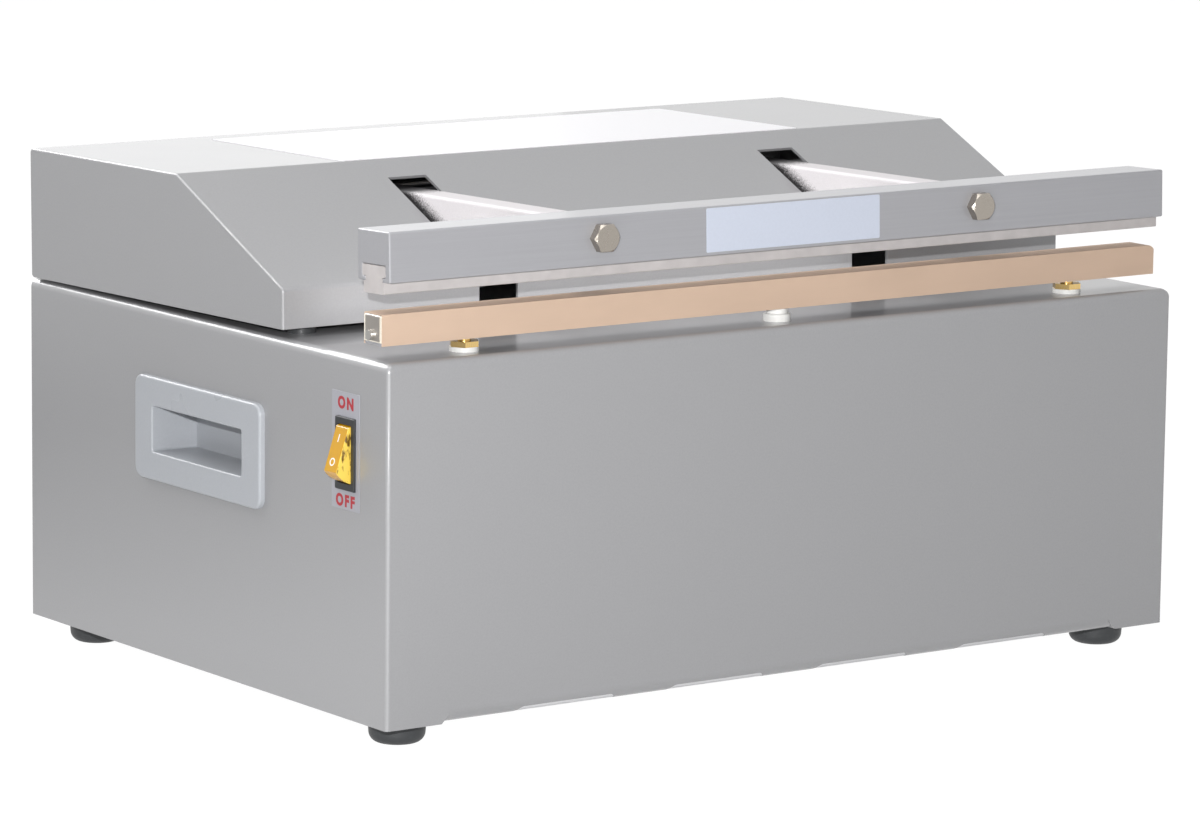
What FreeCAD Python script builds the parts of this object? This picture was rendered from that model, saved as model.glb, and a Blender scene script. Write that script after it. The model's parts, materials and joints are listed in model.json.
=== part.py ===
import FreeCAD, Part
import math
import os

# Impulse heat sealer, in millimetres. X runs across the machine, Y from its front to its rear and Z up.
# The origin is on the floor, under the middle of the overall depth.

# Cabinet
cabinet_width = 406.4
cabinet_depth = 279.4
cabinet_height = 147.5
rear_overhang = 3.6
sheet = 1.5
fold_radius = 3.6
under_fold_radius = 5.5
corner_radius = 1.8
flange_width = 38.0
corner_tab_width = 30.2
corner_tab_slope = 3.5
vent_length = 50.0
vent_depth = 8.2
vent_setback = 0.9
vent_pitch = 76.2
vent_end_radius = 4.0
vent_rise = 3.2
foot_height = 10.0
foot_radius = 12.0
foot_recess_radius = 4.8
foot_screw_radius = 2.5
foot_screw_hole = 2.6
foot_seat = 4.5
foot_inset_side = 19.6
foot_inset_end = 21.6
tray_setback = 11.0

# Pocket handles
handle_length = 98.4
handle_height = 43.8
handle_thickness = 2.7
handle_back = 139.5
handle_centre_height = 97.1
pocket_length = 70.2
pocket_height = 19.3
pocket_corner = 1.2
pocket_edge = 0.8
pocket_depth = 22.0
pocket_wall = 2.0
finger_undercut = 9.0

# Rocker switch
switch_width = 14.0
switch_height = 29.4
switch_frame_thickness = 1.1
switch_back = 29.5
switch_centre_height = 107.7
switch_body_depth = 22.0
rocker_width = 9.0
rocker_half_length = 9.1
rocker_tilt = 18.0
rocker_pivot_depth = 2.15
rocker_face_reach = 7.6
rocker_back_reach = 4.0
rocker_clearance = 0.5
rocker_pin_radius = 1.5

# Lower sealing bar, measured back from the cabinet's front and up from the deck
bar_half_length = 200.3
jaw_centre_back = 15.1
lower_bar_width = 12.2
lower_bar_low = 5.7
lower_bar_high = 17.7
bar_left_radius = 0.8
bar_right_radius = 3.4
layer_end_low = 7.0
strip_thickness = 0.2
ribbon_thickness = 0.2
ribbon_width = 10.0
tape_thickness = 0.25
stud_offset = 156.8
stud_radius = 2.7
stud_hole = 4.6
support_radius = 3.0
support_stem = 2.5
clamp_screw_back = 1.1
clamp_screw_height = 9.7
clamp_screw_radius = 1.25
clamp_head_radius = 2.1

# Upper jaw, drawn closed
jaw_open_angle = 1.86
closed_gap = 0.3
upper_bar_half_length = 200.3
upper_bar_width = 23.0
upper_bar_height = 20.4
upper_bar_corner = 0.8
pad_width = 14.2
pad_height = 4.7
slot_neck_width = 11.8
slot_neck_height = 2.0
slot_head_width = 16.2
slot_head_height = 4.7
slot_play = 0.1
jaw_bolt_height = 34.7
jaw_bolt_radius = 3.175
jaw_bolt_flats = 11.1
jaw_bolt_head = 4.1
arm_offset = 97.5
arm_width = 14.0
arm_end_radius = 10.5
arm_fall = 0.63
arm_edge_radius = 1.5
pivot_back = 249.0
pivot_height = 34.3
shaft_radius = 6.0
tie_screw_radius = 3.0
block_bolt_radius = 3.0
block_bolt_hole = 3.2
running_play = 0.05
screw_play = 0.05

# Drive and return of the jaw
tie_back = 156.0
tie_depth = 20.0
tie_height = 14.0
link_back = 173.0
link_pin_radius = 3.0
link_play = 0.15
lug_half_width = 4.0
lug_radius = 6.5
plunger_radius = 8.0
plunger_top = 2.0
plunger_low = -40.0
pole_gap = 3.2
spring_offset = 60.0
spring_radius = 8.0
spring_wire = 1.8
spring_turns = 6
stop_bolt_radius = 4.0
stop_bolt_flats = 13.0

# Hood, drawn level
hood_lift = 0.8
hood_tilt = 0.85
hood_depth = 202.3
hood_top_depth = 120.5
hood_height = 55.8
hood_lip = 16.6
hood_sheet = 1.2
hood_bend = 2.5
hood_edge_radius = 1.0
hood_rear_corner = 3.0
arm_slot_width = 19.3
arm_slot_start = 14.8
hinge_offset = 130.0
hinge_length = 60.0
hinge_leaf = 1.2
knuckle_radius = 2.6
hinge_pin_radius = 1.5
bumper_back = 90.0
bumper_offset = 186.0
bumper_radius = 6.0

# Rear panel fittings, across from the middle and up from the floor
fitting_height = 50.0
inlet_across = 150.0
fuse_across = 100.0
jack_across = 62.0
jack_bore_radius = 3.2
jack_bore_length = 16.0

# Places worked out from the dimensions above
V = FreeCAD.Vector
side = cabinet_width / 2
front = -(cabinet_depth + rear_overhang) / 2
rear = front + cabinet_depth
low = foot_height
deck = foot_height + cabinet_height
inside_low = low + sheet
inside_high = deck - sheet
tray_top = inside_low + sheet
jaw_y = front + jaw_centre_back
tape_top = deck + lower_bar_high + strip_thickness + ribbon_thickness + tape_thickness
pad_low = tape_top + closed_gap
upper_bar_low = pad_low + pad_height
upper_bar_high = upper_bar_low + upper_bar_height
pivot = V(0, front + pivot_back, deck + pivot_height)
tie_y = front + tie_back
link_reach = pivot_back - link_back
open_sine = math.sin(math.radians(jaw_open_angle))
open_cosine = math.cos(math.radians(jaw_open_angle))
rod_y = pivot.y - link_reach * open_cosine
link_pin_z = pivot.z + link_reach * open_sine
tie_low = pivot.z - tie_height / 2
tie_high = pivot.z + tie_height / 2
tie_lift = (pivot_back - tie_back) * open_sine
hinge_axis = V(0, rear + knuckle_radius, deck + hood_lift / 2)
hood_low = deck + hood_lift
hood_front = rear - hood_depth
rocker_pivot = V(-side + rocker_pivot_depth, front + switch_back, low + switch_centre_height)
foot_places = {
    "front_left": (-side + foot_inset_side, front + foot_inset_end),
    "front_right": (side - foot_inset_side, front + foot_inset_end),
    "rear_left": (-side + foot_inset_side, rear - foot_inset_end),
    "rear_right": (side - foot_inset_side, rear - foot_inset_end),
}
block_bolt_reach = 20.5
bearing_inner = arm_offset + arm_width / 2 + 3.5
bearing_width = 16.0
bearing_base = 27.0
bearing_base_height = 9.0
bearing_head_radius = 14.0
bush_radius = 8.0
board_place = (-172.0, -52.0, front + 110.0, front + 205.0, tray_top + 12.0)
board_thickness = 1.6
core_place = (68.0, 152.0, front + 165.0, front + 205.0, tray_top, tray_top + 70.0)

PLANES = {
    "yz": (V(0, 1, 0), V(0, 0, 1), V(1, 0, 0)),
    "xz": (V(1, 0, 0), V(0, 0, 1), V(0, 1, 0)),
    "xy": (V(1, 0, 0), V(0, 1, 0), V(0, 0, 1)),
}


# Shapes that the pieces share
def block(x0, x1, y0, y1, z0, z1):
    """Box between two corners."""
    return Part.makeBox(x1 - x0, y1 - y0, z1 - z0, V(x0, y0, z0))


def rod(radius, start, end):
    """Round bar from one point to another."""
    axis = end - start
    return Part.makeCylinder(radius, axis.Length, start, axis)


def post(radius, x, y, z0, z1):
    """Round bar that stands upright."""
    return rod(radius, V(x, y, z0), V(x, y, z1))


def axle(radius, x0, x1, y, z):
    """Round bar that runs across the machine."""
    return rod(radius, V(x0, y, z), V(x1, y, z))


def ring(outer, inner, start, end):
    """Round bar with a hole along its axis."""
    return rod(outer, start, end).cut(rod(inner, start, end))


def rounded_edges(corners):
    """Lines and arcs round an outline of (u, v, radius) corners, in a flat plane."""
    points = [V(u, v, 0) for u, v, radius in corners]
    arcs = []
    for index, (here, corner) in enumerate(zip(points, corners)):
        back = (points[index - 1] - here).normalize()
        on = (points[(index + 1) % len(points)] - here).normalize()
        radius = corner[2]
        half_angle = back.getAngle(on) / 2
        setback = radius / math.tan(half_angle)
        inward = (back + on).normalize()
        tip = here + inward * (radius / math.sin(half_angle) - radius)
        arcs.append((here + back * setback, tip, here + on * setback))
    edges = []
    for index, (start, tip, end) in enumerate(arcs):
        if corners[index][2] > 0:
            edges.append(Part.Arc(start, tip, end).toShape())
        following = arcs[(index + 1) % len(arcs)][0]
        if (following - end).Length > 1e-6:
            edges.append(Part.LineSegment(end, following).toShape())
    return edges


def rounded_face(corners, plane):
    """Flat face from (u, v, radius) corners in one of the three main planes."""
    first, second = PLANES[plane][:2]
    face = Part.Face(Part.Wire(rounded_edges(corners)))
    face.Placement = FreeCAD.Placement(V(), FreeCAD.Rotation(first, second, first.cross(second), "XYZ"))
    return face


def prism(corners, plane, start, end):
    """Solid of one outline between two places along the plane's normal."""
    normal = PLANES[plane][2]
    face = rounded_face(corners, plane)
    face.translate(normal * start)
    return face.extrude(normal * (end - start))


def slab(u0, u1, v0, v1, radius):
    """Corners of a rectangle, all rounded alike."""
    return [(u0, v0, radius), (u1, v0, radius), (u1, v1, radius), (u0, v1, radius)]


def turned(corners, x, y):
    """Solid of revolution about an upright axis, from (radius, height) corners."""
    return rounded_face(corners, "xz").revolve(V(), V(0, 0, 1), 360).translated(V(x, y, 0))


def hexagon(flats, start, end):
    """Six-sided bar from one point to another."""
    axis = end - start
    corner = flats / math.sqrt(3)
    points = [V(corner, 0, 0)]
    for step in range(1, 7):
        angle = math.radians(60 * step)
        points.append(V(corner * math.cos(angle), corner * math.sin(angle), 0))
    bar = Part.Face(Part.makePolygon(points)).extrude(V(0, 0, axis.Length))
    bar.Placement = FreeCAD.Placement(start, FreeCAD.Rotation(V(0, 0, 1), axis))
    return bar


def mirrored(shape):
    """Twin of a piece on the other side of the machine."""
    return shape.mirror(V(), V(1, 0, 0))


def together(shapes):
    """Separate solids kept as one group."""
    return Part.makeCompound(shapes)


def opened(shape):
    """Jaw piece, drawn closed, swung to where the jaw rests open."""
    return shape.rotated(pivot, V(-1, 0, 0), jaw_open_angle)


def seated_hood(shape):
    """Hood piece, drawn level, tipped to where the hood rests."""
    return shape.rotated(hinge_axis, V(-1, 0, 0), hood_tilt)


def straight_edges(shape, axis, test):
    """Straight edges along one axis whose middle passes a test."""
    found = []
    for edge in shape.Edges:
        if edge.Degenerated or edge.Curve.TypeId != "Part::GeomLine":
            continue
        if abs(abs(edge.tangentAt(edge.FirstParameter).dot(axis)) - 1) < 1e-6 and test(edge.CenterOfMass):
            found.append(edge)
    return found


def tube(points, radius):
    """Round lead along a route, with each bend as wide as its runs allow."""
    edges = []
    last = points[0]
    for before, here, after in zip(points, points[1:], points[2:]):
        back, on = before - here, after - here
        shorter = min(back.Length, on.Length)
        back.normalize()
        on.normalize()
        half_angle = back.getAngle(on) / 2
        setback = 0.45 * shorter
        bend = setback * math.tan(half_angle)
        inward = (back + on).normalize()
        tip = here + inward * (bend / math.sin(half_angle) - bend)
        edges.append(Part.LineSegment(last, here + back * setback).toShape())
        edges.append(Part.Arc(here + back * setback, tip, here + on * setback).toShape())
        last = here + on * setback
    edges.append(Part.LineSegment(last, points[-1]).toShape())
    path = Part.Wire(edges)
    section = Part.Wire(Part.makeCircle(radius, points[0], points[1] - points[0]))
    return path.makePipeShell([section], True, False)


# Cabinet
def cabinet_box(inset):
    """Box of the cabinet with its deck folds rounded, drawn in by the sheet for the hollow."""
    top = deck - inset
    box = block(-side + inset, side - inset, front + inset, rear + inset, low + inset, top)
    folds = straight_edges(box, V(1, 0, 0), lambda c: c.z > top - 1 and c.y < 0)
    folds += straight_edges(box, V(0, 1, 0), lambda c: c.z > top - 1)
    return box.makeFillet(fold_radius - inset, folds)


def front_fold_cut():
    """What the fold under the front takes off the square box, with sloped ends at the corner tabs."""
    reach = side - corner_tab_width
    fold_y, fold_z = front + under_fold_radius, low + under_fold_radius
    corner = block(-side, side, front - sheet, fold_y, low - sheet, fold_z)
    corner = corner.cut(axle(under_fold_radius, -side, side, fold_y, fold_z))
    foot = reach + corner_tab_slope
    outline = [
        (-foot, low - sheet, 0), (foot, low - sheet, 0), (foot, low, 0), (reach, low + corner_tab_slope, 0),
        (reach, fold_z, 0), (-reach, fold_z, 0), (-reach, low + corner_tab_slope, 0), (-foot, low, 0),
    ]
    return corner.common(prism(outline, "xz", front - sheet, fold_y))


def deck_holes():
    """Holes through the deck for the bar's stand-offs, the jaw's bearings, its stops and its drive."""
    z0, z1 = deck - 9, deck + 1
    holes = [post(support_radius + 0.1, 0, jaw_y, z0, z1), post(plunger_radius + 1.5, 0, rod_y, z0, z1)]
    for sign in (-1, 1):
        holes.append(post(stud_hole, sign * stud_offset, jaw_y, z0, z1))
        holes.append(post(stop_bolt_radius + screw_play, sign * spring_offset, tie_y, z0, z1))
        holes += [post(block_bolt_hole, x, y, z0, z1) for x, y in block_bolt_places(sign)]
    return holes


def vent_slots():
    """Row of slots in the fold under the front."""
    y0 = front + vent_setback
    slots = []
    for step in (-1.5, -0.5, 0.5, 1.5):
        x = step * vent_pitch
        outline = slab(x - vent_length / 2, x + vent_length / 2, y0, y0 + vent_depth, vent_end_radius)
        slots.append(prism(outline, "xy", low - 1, low + vent_rise))
    return slots


def base_shell():
    """Deck, front and sides folded from one sheet, with a flange under them that carries the feet."""
    hollow = cabinet_box(sheet)
    under_fold = straight_edges(hollow, V(1, 0, 0), lambda c: c.z < inside_low + 1 and c.y < 0)
    hollow = hollow.makeFillet(under_fold_radius - sheet, under_fold)
    outer = cabinet_box(0)
    outer = outer.makeFillet(corner_radius, straight_edges(outer, V(0, 0, 1), lambda c: c.y < 0))
    shell = outer.cut(front_fold_cut()).cut(hollow)
    inner = side - flange_width
    shell = shell.cut(block(-inner, inner, front + flange_width, rear + sheet, low - 1, inside_low + 1))
    pocket = handle_pocket_outer(pocket_wall + 0.4).common(block(side - 5, side + 5, front, rear, low, deck))
    cutters = deck_holes() + vent_slots() + [pocket, mirrored(pocket), switch_body_box(0.1)]
    cutters += [post(foot_screw_hole, x, y, low - 1, inside_low + 1) for x, y in foot_places.values()]
    for cutter in cutters:
        shell = shell.cut(cutter)
    return shell


def rear_panel():
    """Rear sheet with side flanges, cooling slots and holes for its fittings."""
    half = side - sheet - 0.1
    bottom, top = tray_top + 0.1, inside_high - 0.1
    corner = fold_radius - sheet
    outline = [(-half, bottom, 0), (half, bottom, 0), (half, top, corner), (-half, top, corner)]
    panel = prism(outline, "xz", rear - 12, rear)
    panel = panel.cut(block(-half + sheet, half - sheet, rear - 13, rear - sheet, low, deck))
    for column in (-130.0, -60.0):
        for row in range(7):
            z = low + 45.0 + 9.0 * row
            outline = slab(column - 25, column + 25, z - 2, z + 2, 1.9)
            panel = panel.cut(prism(outline, "xz", rear - 3, rear + 1))
    panel = panel.cut(prism(inlet_outline(0.2), "xz", rear - 3, rear + 1))
    for across, radius in ((fuse_across, 6.2), (jack_across, 5.2)):
        centre = V(across, rear, fitting_height)
        panel = panel.cut(rod(radius, centre - V(0, 3, 0), centre + V(0, 1, 0)))
    return panel


def bottom_tray():
    """Floor plate on the flange, with two fields of cooling slots."""
    half = side - sheet - 0.2
    tray = block(-half, half, front + tray_setback, rear - 0.1, inside_low, tray_top)
    for x, y in foot_places.values():
        tray = tray.cut(post(foot_screw_hole, x, y, inside_low - 1, tray_top + 1))
    for centre in (-110.0, 20.0):
        for row in range(6):
            y = front + 60 + 10.0 * row
            outline = slab(centre - 35, centre + 35, y - 2, y + 2, 1.9)
            tray = tray.cut(prism(outline, "xy", low, tray_top + 1))
    return tray


def foot(place):
    """Rubber foot with a rounded lower edge and a recess for its screw."""
    x, y = foot_places[place]
    hole, recess, seat = foot_screw_hole, foot_recess_radius, foot_seat
    outline = [(hole, low, 0), (hole, seat, 0), (recess, seat, 0), (recess, 0, 0),
               (foot_radius - 0.8, 0, 4.4), (foot_radius, low, 0.6)]
    return turned(outline, x, y)


def foot_screws():
    """Pan-head screws up through the feet, with nuts on the tray."""
    pieces = []
    for x, y in foot_places.values():
        head = post(foot_recess_radius - 0.4, x, y, 1.8, foot_seat)
        pieces.append(head.fuse(post(foot_screw_radius, x, y, foot_seat, tray_top + 6)))
        nut = hexagon(8.0, V(x, y, tray_top), V(x, y, tray_top + 4))
        pieces.append(nut.cut(post(foot_screw_radius + screw_play, x, y, tray_top - 1, tray_top + 9)))
    return together(pieces)


# Pocket handles
def handle_pocket_outer(wall):
    """Outside of the pocket that stands behind the handle's face, on the right-hand side."""
    y, z = front + handle_back, low + handle_centre_height
    half = pocket_length / 2 + wall
    z0 = z - pocket_height / 2 - wall
    z1 = z + pocket_height / 2 + finger_undercut + wall
    back = side + handle_thickness - pocket_depth - wall
    return prism(slab(y - half, y + half, z0, z1, 3.0), "yz", back, side)


def handle_right():
    """Moulded face with a finger pocket, undercut above so that the fingers hook behind the face."""
    y, z = front + handle_back, low + handle_centre_height
    wide, high = handle_length / 2, handle_height / 2
    face = prism(slab(y - wide, y + wide, z - high, z + high, 5.0), "yz", side, side + handle_thickness)
    rim = [e for e in face.Edges if e.BoundBox.XMin > side + handle_thickness - 0.1]
    face = face.makeFillet(1.2, rim)
    handle = face.fuse(handle_pocket_outer(pocket_wall))
    half = pocket_length / 2
    z0, z1 = z - pocket_height / 2, z + pocket_height / 2
    back = side + handle_thickness - pocket_depth
    handle = handle.cut(prism(slab(y - half, y + half, z0, z1, pocket_corner), "yz", back, side + 5))
    undercut = slab(y - half, y + half, z0, z1 + finger_undercut, pocket_corner)
    handle = handle.cut(prism(undercut, "yz", back, side - 2.5))
    mouth = [e for e in handle.Edges if e.BoundBox.XMin > side + handle_thickness - 0.01
             and e.BoundBox.YMin > y - half - 0.1 and e.BoundBox.YMax < y + half + 0.1
             and abs(e.CenterOfMass.z - z) < pocket_height / 2 + 0.1]
    return handle.makeFillet(pocket_edge, mouth)


# Rocker switch
def switch_body_box(play):
    """Body of the switch behind the panel."""
    y, z = rocker_pivot.y, rocker_pivot.z
    outline = slab(y - 6.5 - play, y + 6.5 + play, z - 13.8 - play, z + 13.8 + play, 0.8)
    return prism(outline, "yz", -side, -side + switch_body_depth)


def rocker_end_radius():
    """Reach of the rocker's ends from its pivot."""
    return math.hypot(rocker_face_reach, rocker_half_length)


def switch_housing():
    """Black frame and body, hollowed for the rocker, with bearings for its pins."""
    y, z = rocker_pivot.y, rocker_pivot.z
    half_wide, half_high = switch_width / 2, switch_height / 2
    outline = slab(y - half_wide, y + half_wide, z - half_high, z + half_high, 0.7)
    frame = prism(outline, "yz", -side - switch_frame_thickness, -side)
    rim = [e for e in frame.Edges if e.BoundBox.XMax < -side - switch_frame_thickness + 0.1]
    housing = frame.makeFillet(0.35, rim).fuse(switch_body_box(0))
    half = rocker_width / 2 + 0.3
    hollow = rod(rocker_end_radius() + rocker_clearance, V(rocker_pivot.x, y - half, z),
                 V(rocker_pivot.x, y + half, z))
    hollow = hollow.common(block(-side - 9, -side + 13, y - half, y + half, z - 20, z + 20))
    pin_end = V(0, half + 1.1, 0)
    pins = rod(rocker_pin_radius + running_play, rocker_pivot - pin_end, rocker_pivot + pin_end)
    return housing.cut(hollow).cut(pins)


def switch_rocker():
    """Rocker with a flat face and ends rounded about its pivot, resting with its upper end pressed in."""
    face, end = rocker_face_reach, rocker_half_length
    reach = rocker_end_radius()
    back_end = math.sqrt(reach ** 2 - rocker_back_reach ** 2)
    points = [V(-face, 0, -end), V(-face, 0, end), V(rocker_back_reach, 0, back_end),
              V(rocker_back_reach, 0, -back_end)]
    edges = [Part.LineSegment(points[0], points[1]).toShape(),
             Part.Arc(points[1], V(0, 0, reach), points[2]).toShape(),
             Part.LineSegment(points[2], points[3]).toShape(),
             Part.Arc(points[3], V(0, 0, -reach), points[0]).toShape()]
    outline = Part.Face(Part.Wire(edges))
    outline.translate(V(0, -rocker_width / 2, 0))
    rocker = outline.extrude(V(0, rocker_width, 0))
    rims = [e for e in rocker.Edges if e.BoundBox.XMax < -face + 0.1]
    rocker = rocker.makeFillet(0.6, rims)
    pin_end = V(0, rocker_width / 2 + 1.2, 0)
    rocker = rocker.fuse(rod(rocker_pin_radius, V() - pin_end, pin_end))
    return rocker.rotated(V(), V(0, 1, 0), rocker_tilt).translated(rocker_pivot)


def switch_terminals():
    """Blade terminals on the back of the switch."""
    x = -side + switch_body_depth
    z = rocker_pivot.z
    blades = []
    for rise in (-9.0, 0.0, 9.0):
        y0, y1 = rocker_pivot.y - 2.4, rocker_pivot.y + 2.4
        blades.append(block(x, x + 9, y0, y1, z + rise - 0.4, z + rise + 0.4))
    return together(blades)


# Lower sealing bar
def bar_profile(grow, y0, y1, bottom):
    """Sealing bar with rounded upper ends, grown by the layers that lie on it."""
    half = bar_half_length + grow
    top = deck + lower_bar_high + grow
    outline = [(-half, bottom, 0), (half, bottom, 0), (half, top, bar_right_radius + grow),
               (-half, top, bar_left_radius + grow)]
    return prism(outline, "xz", y0, y1)


def bar_layer(grow, thickness, width, bottom):
    """Strip that runs along the bar's top and over its rounded ends."""
    y0, y1 = jaw_y - width / 2, jaw_y + width / 2
    return bar_profile(grow + thickness, y0, y1, bottom).cut(bar_profile(grow, y0, y1, bottom - 1))


def clamp_screw_ends():
    """End faces of the bar with their outward directions."""
    reach = bar_half_length + strip_thickness + ribbon_thickness
    y, z = jaw_y + clamp_screw_back, deck + clamp_screw_height
    return [(V(sign * reach, y, z), V(sign, 0, 0)) for sign in (-1, 1)]


def clamp_screw_holes(radius):
    """Holes along the clamp screws."""
    return together([rod(radius, place - out * 12, place + out * 5) for place, out in clamp_screw_ends()])


def lower_bar():
    """Aluminium bar with threaded holes for its stand-offs and clamp screws."""
    half = lower_bar_width / 2
    bar = bar_profile(0, jaw_y - half, jaw_y + half, deck + lower_bar_low)
    bar = bar.cut(clamp_screw_holes(clamp_screw_radius + screw_play))
    for x, radius in ((-stud_offset, stud_radius), (0, support_stem), (stud_offset, stud_radius)):
        bar = bar.cut(post(radius + screw_play, x, jaw_y, deck, deck + lower_bar_low + 6))
    return bar


def insulating_strip():
    """Glass-cloth strip between the bar and the ribbon."""
    strip = bar_layer(0, strip_thickness, lower_bar_width, deck + layer_end_low)
    return strip.cut(clamp_screw_holes(clamp_screw_radius + 0.15))


def heating_ribbon():
    """Flat nichrome ribbon over the bar, clamped on its end faces."""
    ribbon = bar_layer(strip_thickness, ribbon_thickness, ribbon_width, deck + layer_end_low + 0.5)
    return ribbon.cut(clamp_screw_holes(clamp_screw_radius + 0.15))


def release_tape():
    """Coated glass cloth over the ribbon and down both faces of the bar, open at its ends."""
    half = lower_bar_width / 2
    bottom = deck + lower_bar_low
    inside_top = tape_top - tape_thickness
    outer = half + tape_thickness
    outline = [(jaw_y - outer, bottom, 0), (jaw_y - half, bottom, 0), (jaw_y - half, inside_top, 0),
               (jaw_y + half, inside_top, 0), (jaw_y + half, bottom, 0), (jaw_y + outer, bottom, 0),
               (jaw_y + outer, tape_top, 0.2), (jaw_y - outer, tape_top, 0.2)]
    sleeve = prism(outline, "yz", -bar_half_length, bar_half_length)
    layers = strip_thickness + ribbon_thickness
    sleeve = sleeve.common(bar_profile(layers + tape_thickness, jaw_y - outer, jaw_y + outer, bottom))
    return sleeve.cut(bar_profile(layers, jaw_y - half, jaw_y + half, bottom - 1))


def ribbon_clamp_screws():
    """Small screws that clamp the ribbon to the bar's ends."""
    return together([rod(clamp_head_radius, place, place + out * 1.3).fuse(
        rod(clamp_screw_radius, place - out * 9, place)) for place, out in clamp_screw_ends()])


def terminal_studs():
    """Brass studs that carry the bar's ends and its current down through the deck."""
    top = deck + lower_bar_low + 5
    return together([post(stud_radius, sign * stud_offset, jaw_y, deck - 13, top) for sign in (-1, 1)])


def terminal_nuts():
    """Brass nuts above the deck and under it."""
    nuts = []
    for sign in (-1, 1):
        x = sign * stud_offset
        bore = post(stud_radius + screw_play, x, jaw_y, deck - 20, deck + 9)
        for z0, z1 in ((1.9, 4.2), (-7.8, -4.5)):
            nuts.append(hexagon(11.0, V(x, jaw_y, deck + z0), V(x, jaw_y, deck + z1)).cut(bore))
    return together(nuts)


def insulating_washers():
    """Nylon bushes through the deck, with a washer under each."""
    pieces = []
    for sign in (-1, 1):
        x = sign * stud_offset
        bore = post(stud_radius + screw_play, x, jaw_y, deck - 9, deck + 9)
        neck = post(stud_hole - 0.1, x, jaw_y, inside_high, deck)
        pieces.append(post(6.0, x, jaw_y, deck, deck + 1.9).fuse(neck).cut(bore))
        pieces.append(post(7.0, x, jaw_y, inside_high - 2, inside_high).cut(bore))
    return together(pieces)


def centre_support():
    """Stepped nylon stand-off under the middle of the bar, with its nut under the deck."""
    foot_end, seat, step = deck - 9, deck + lower_bar_low, deck + 3.2
    outline = [(0, foot_end, 0), (support_radius, foot_end, 0), (support_radius, deck, 0), (5.7, deck, 0),
               (5.7, step, 0.6), (4.5, step, 0), (4.5, seat, 0), (support_stem, seat, 0),
               (support_stem, seat + 5, 0), (0, seat + 5, 0)]
    nut = hexagon(10.0, V(0, jaw_y, inside_high - 4), V(0, jaw_y, inside_high))
    nut = nut.cut(post(support_radius + screw_play, 0, jaw_y, deck - 20, deck))
    return together([turned(outline, 0, jaw_y), nut])


# Upper jaw
def upper_bar():
    """Aluminium bar with a T slot along its underside."""
    half = upper_bar_width / 2
    end = upper_bar_half_length
    outline = slab(jaw_y - half, jaw_y + half, upper_bar_low, upper_bar_high, upper_bar_corner)
    bar = prism(outline, "yz", -end, end)
    neck, head = slot_neck_width / 2, slot_head_width / 2
    step = upper_bar_low + slot_neck_height
    bar = bar.cut(block(-end - 1, end + 1, jaw_y - neck, jaw_y + neck, upper_bar_low - 1, step + 1))
    bar = bar.cut(block(-end - 1, end + 1, jaw_y - head, jaw_y + head, step, step + slot_head_height))
    for sign in (-1, 1):
        x, z = sign * arm_offset, deck + jaw_bolt_height
        bar = bar.cut(rod(jaw_bolt_radius + screw_play, V(x, front - 5, z), V(x, front + 40, z)))
    return opened(bar)


def pressure_pad():
    """Silicone strip whose T head slides into the bar's slot."""
    step = upper_bar_low + slot_neck_height + slot_play
    neck = slot_neck_width / 2 - slot_play
    head = slot_head_width / 2 - slot_play
    half = pad_width / 2
    top = step + slot_head_height - 2 * slot_play
    outline = [
        (jaw_y - half, pad_low, 0.6), (jaw_y + half, pad_low, 0.6), (jaw_y + half, upper_bar_low, 0),
        (jaw_y + neck, upper_bar_low, 0), (jaw_y + neck, step, 0), (jaw_y + head, step, 0.4),
        (jaw_y + head, top, 0.4), (jaw_y - head, top, 0.4), (jaw_y - head, step, 0.4),
        (jaw_y - neck, step, 0), (jaw_y - neck, upper_bar_low, 0), (jaw_y - half, upper_bar_low, 0),
    ]
    return opened(prism(outline, "yz", -upper_bar_half_length, upper_bar_half_length))


def jaw_bolts():
    """Hexagon bolts through the bar into the arms' ends."""
    bolts = []
    face = jaw_y - upper_bar_width / 2
    for sign in (-1, 1):
        x, z = sign * arm_offset, deck + jaw_bolt_height
        head = hexagon(jaw_bolt_flats, V(x, face - jaw_bolt_head, z), V(x, face, z))
        tip = V(x, face - jaw_bolt_head, z)
        crown = Part.makeCone(jaw_bolt_flats / 2 - 0.2, jaw_bolt_flats / 2 + 3.8, 4.0, tip, V(0, 1, 0))
        crown = crown.fuse(rod(jaw_bolt_flats, tip + V(0, 4, 0), V(x, face + 1, z)))
        shank = rod(jaw_bolt_radius, V(x, face, z), V(x, face + 42, z))
        bolts.append(head.common(crown).fuse(shank))
    return opened(together(bolts))


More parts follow.
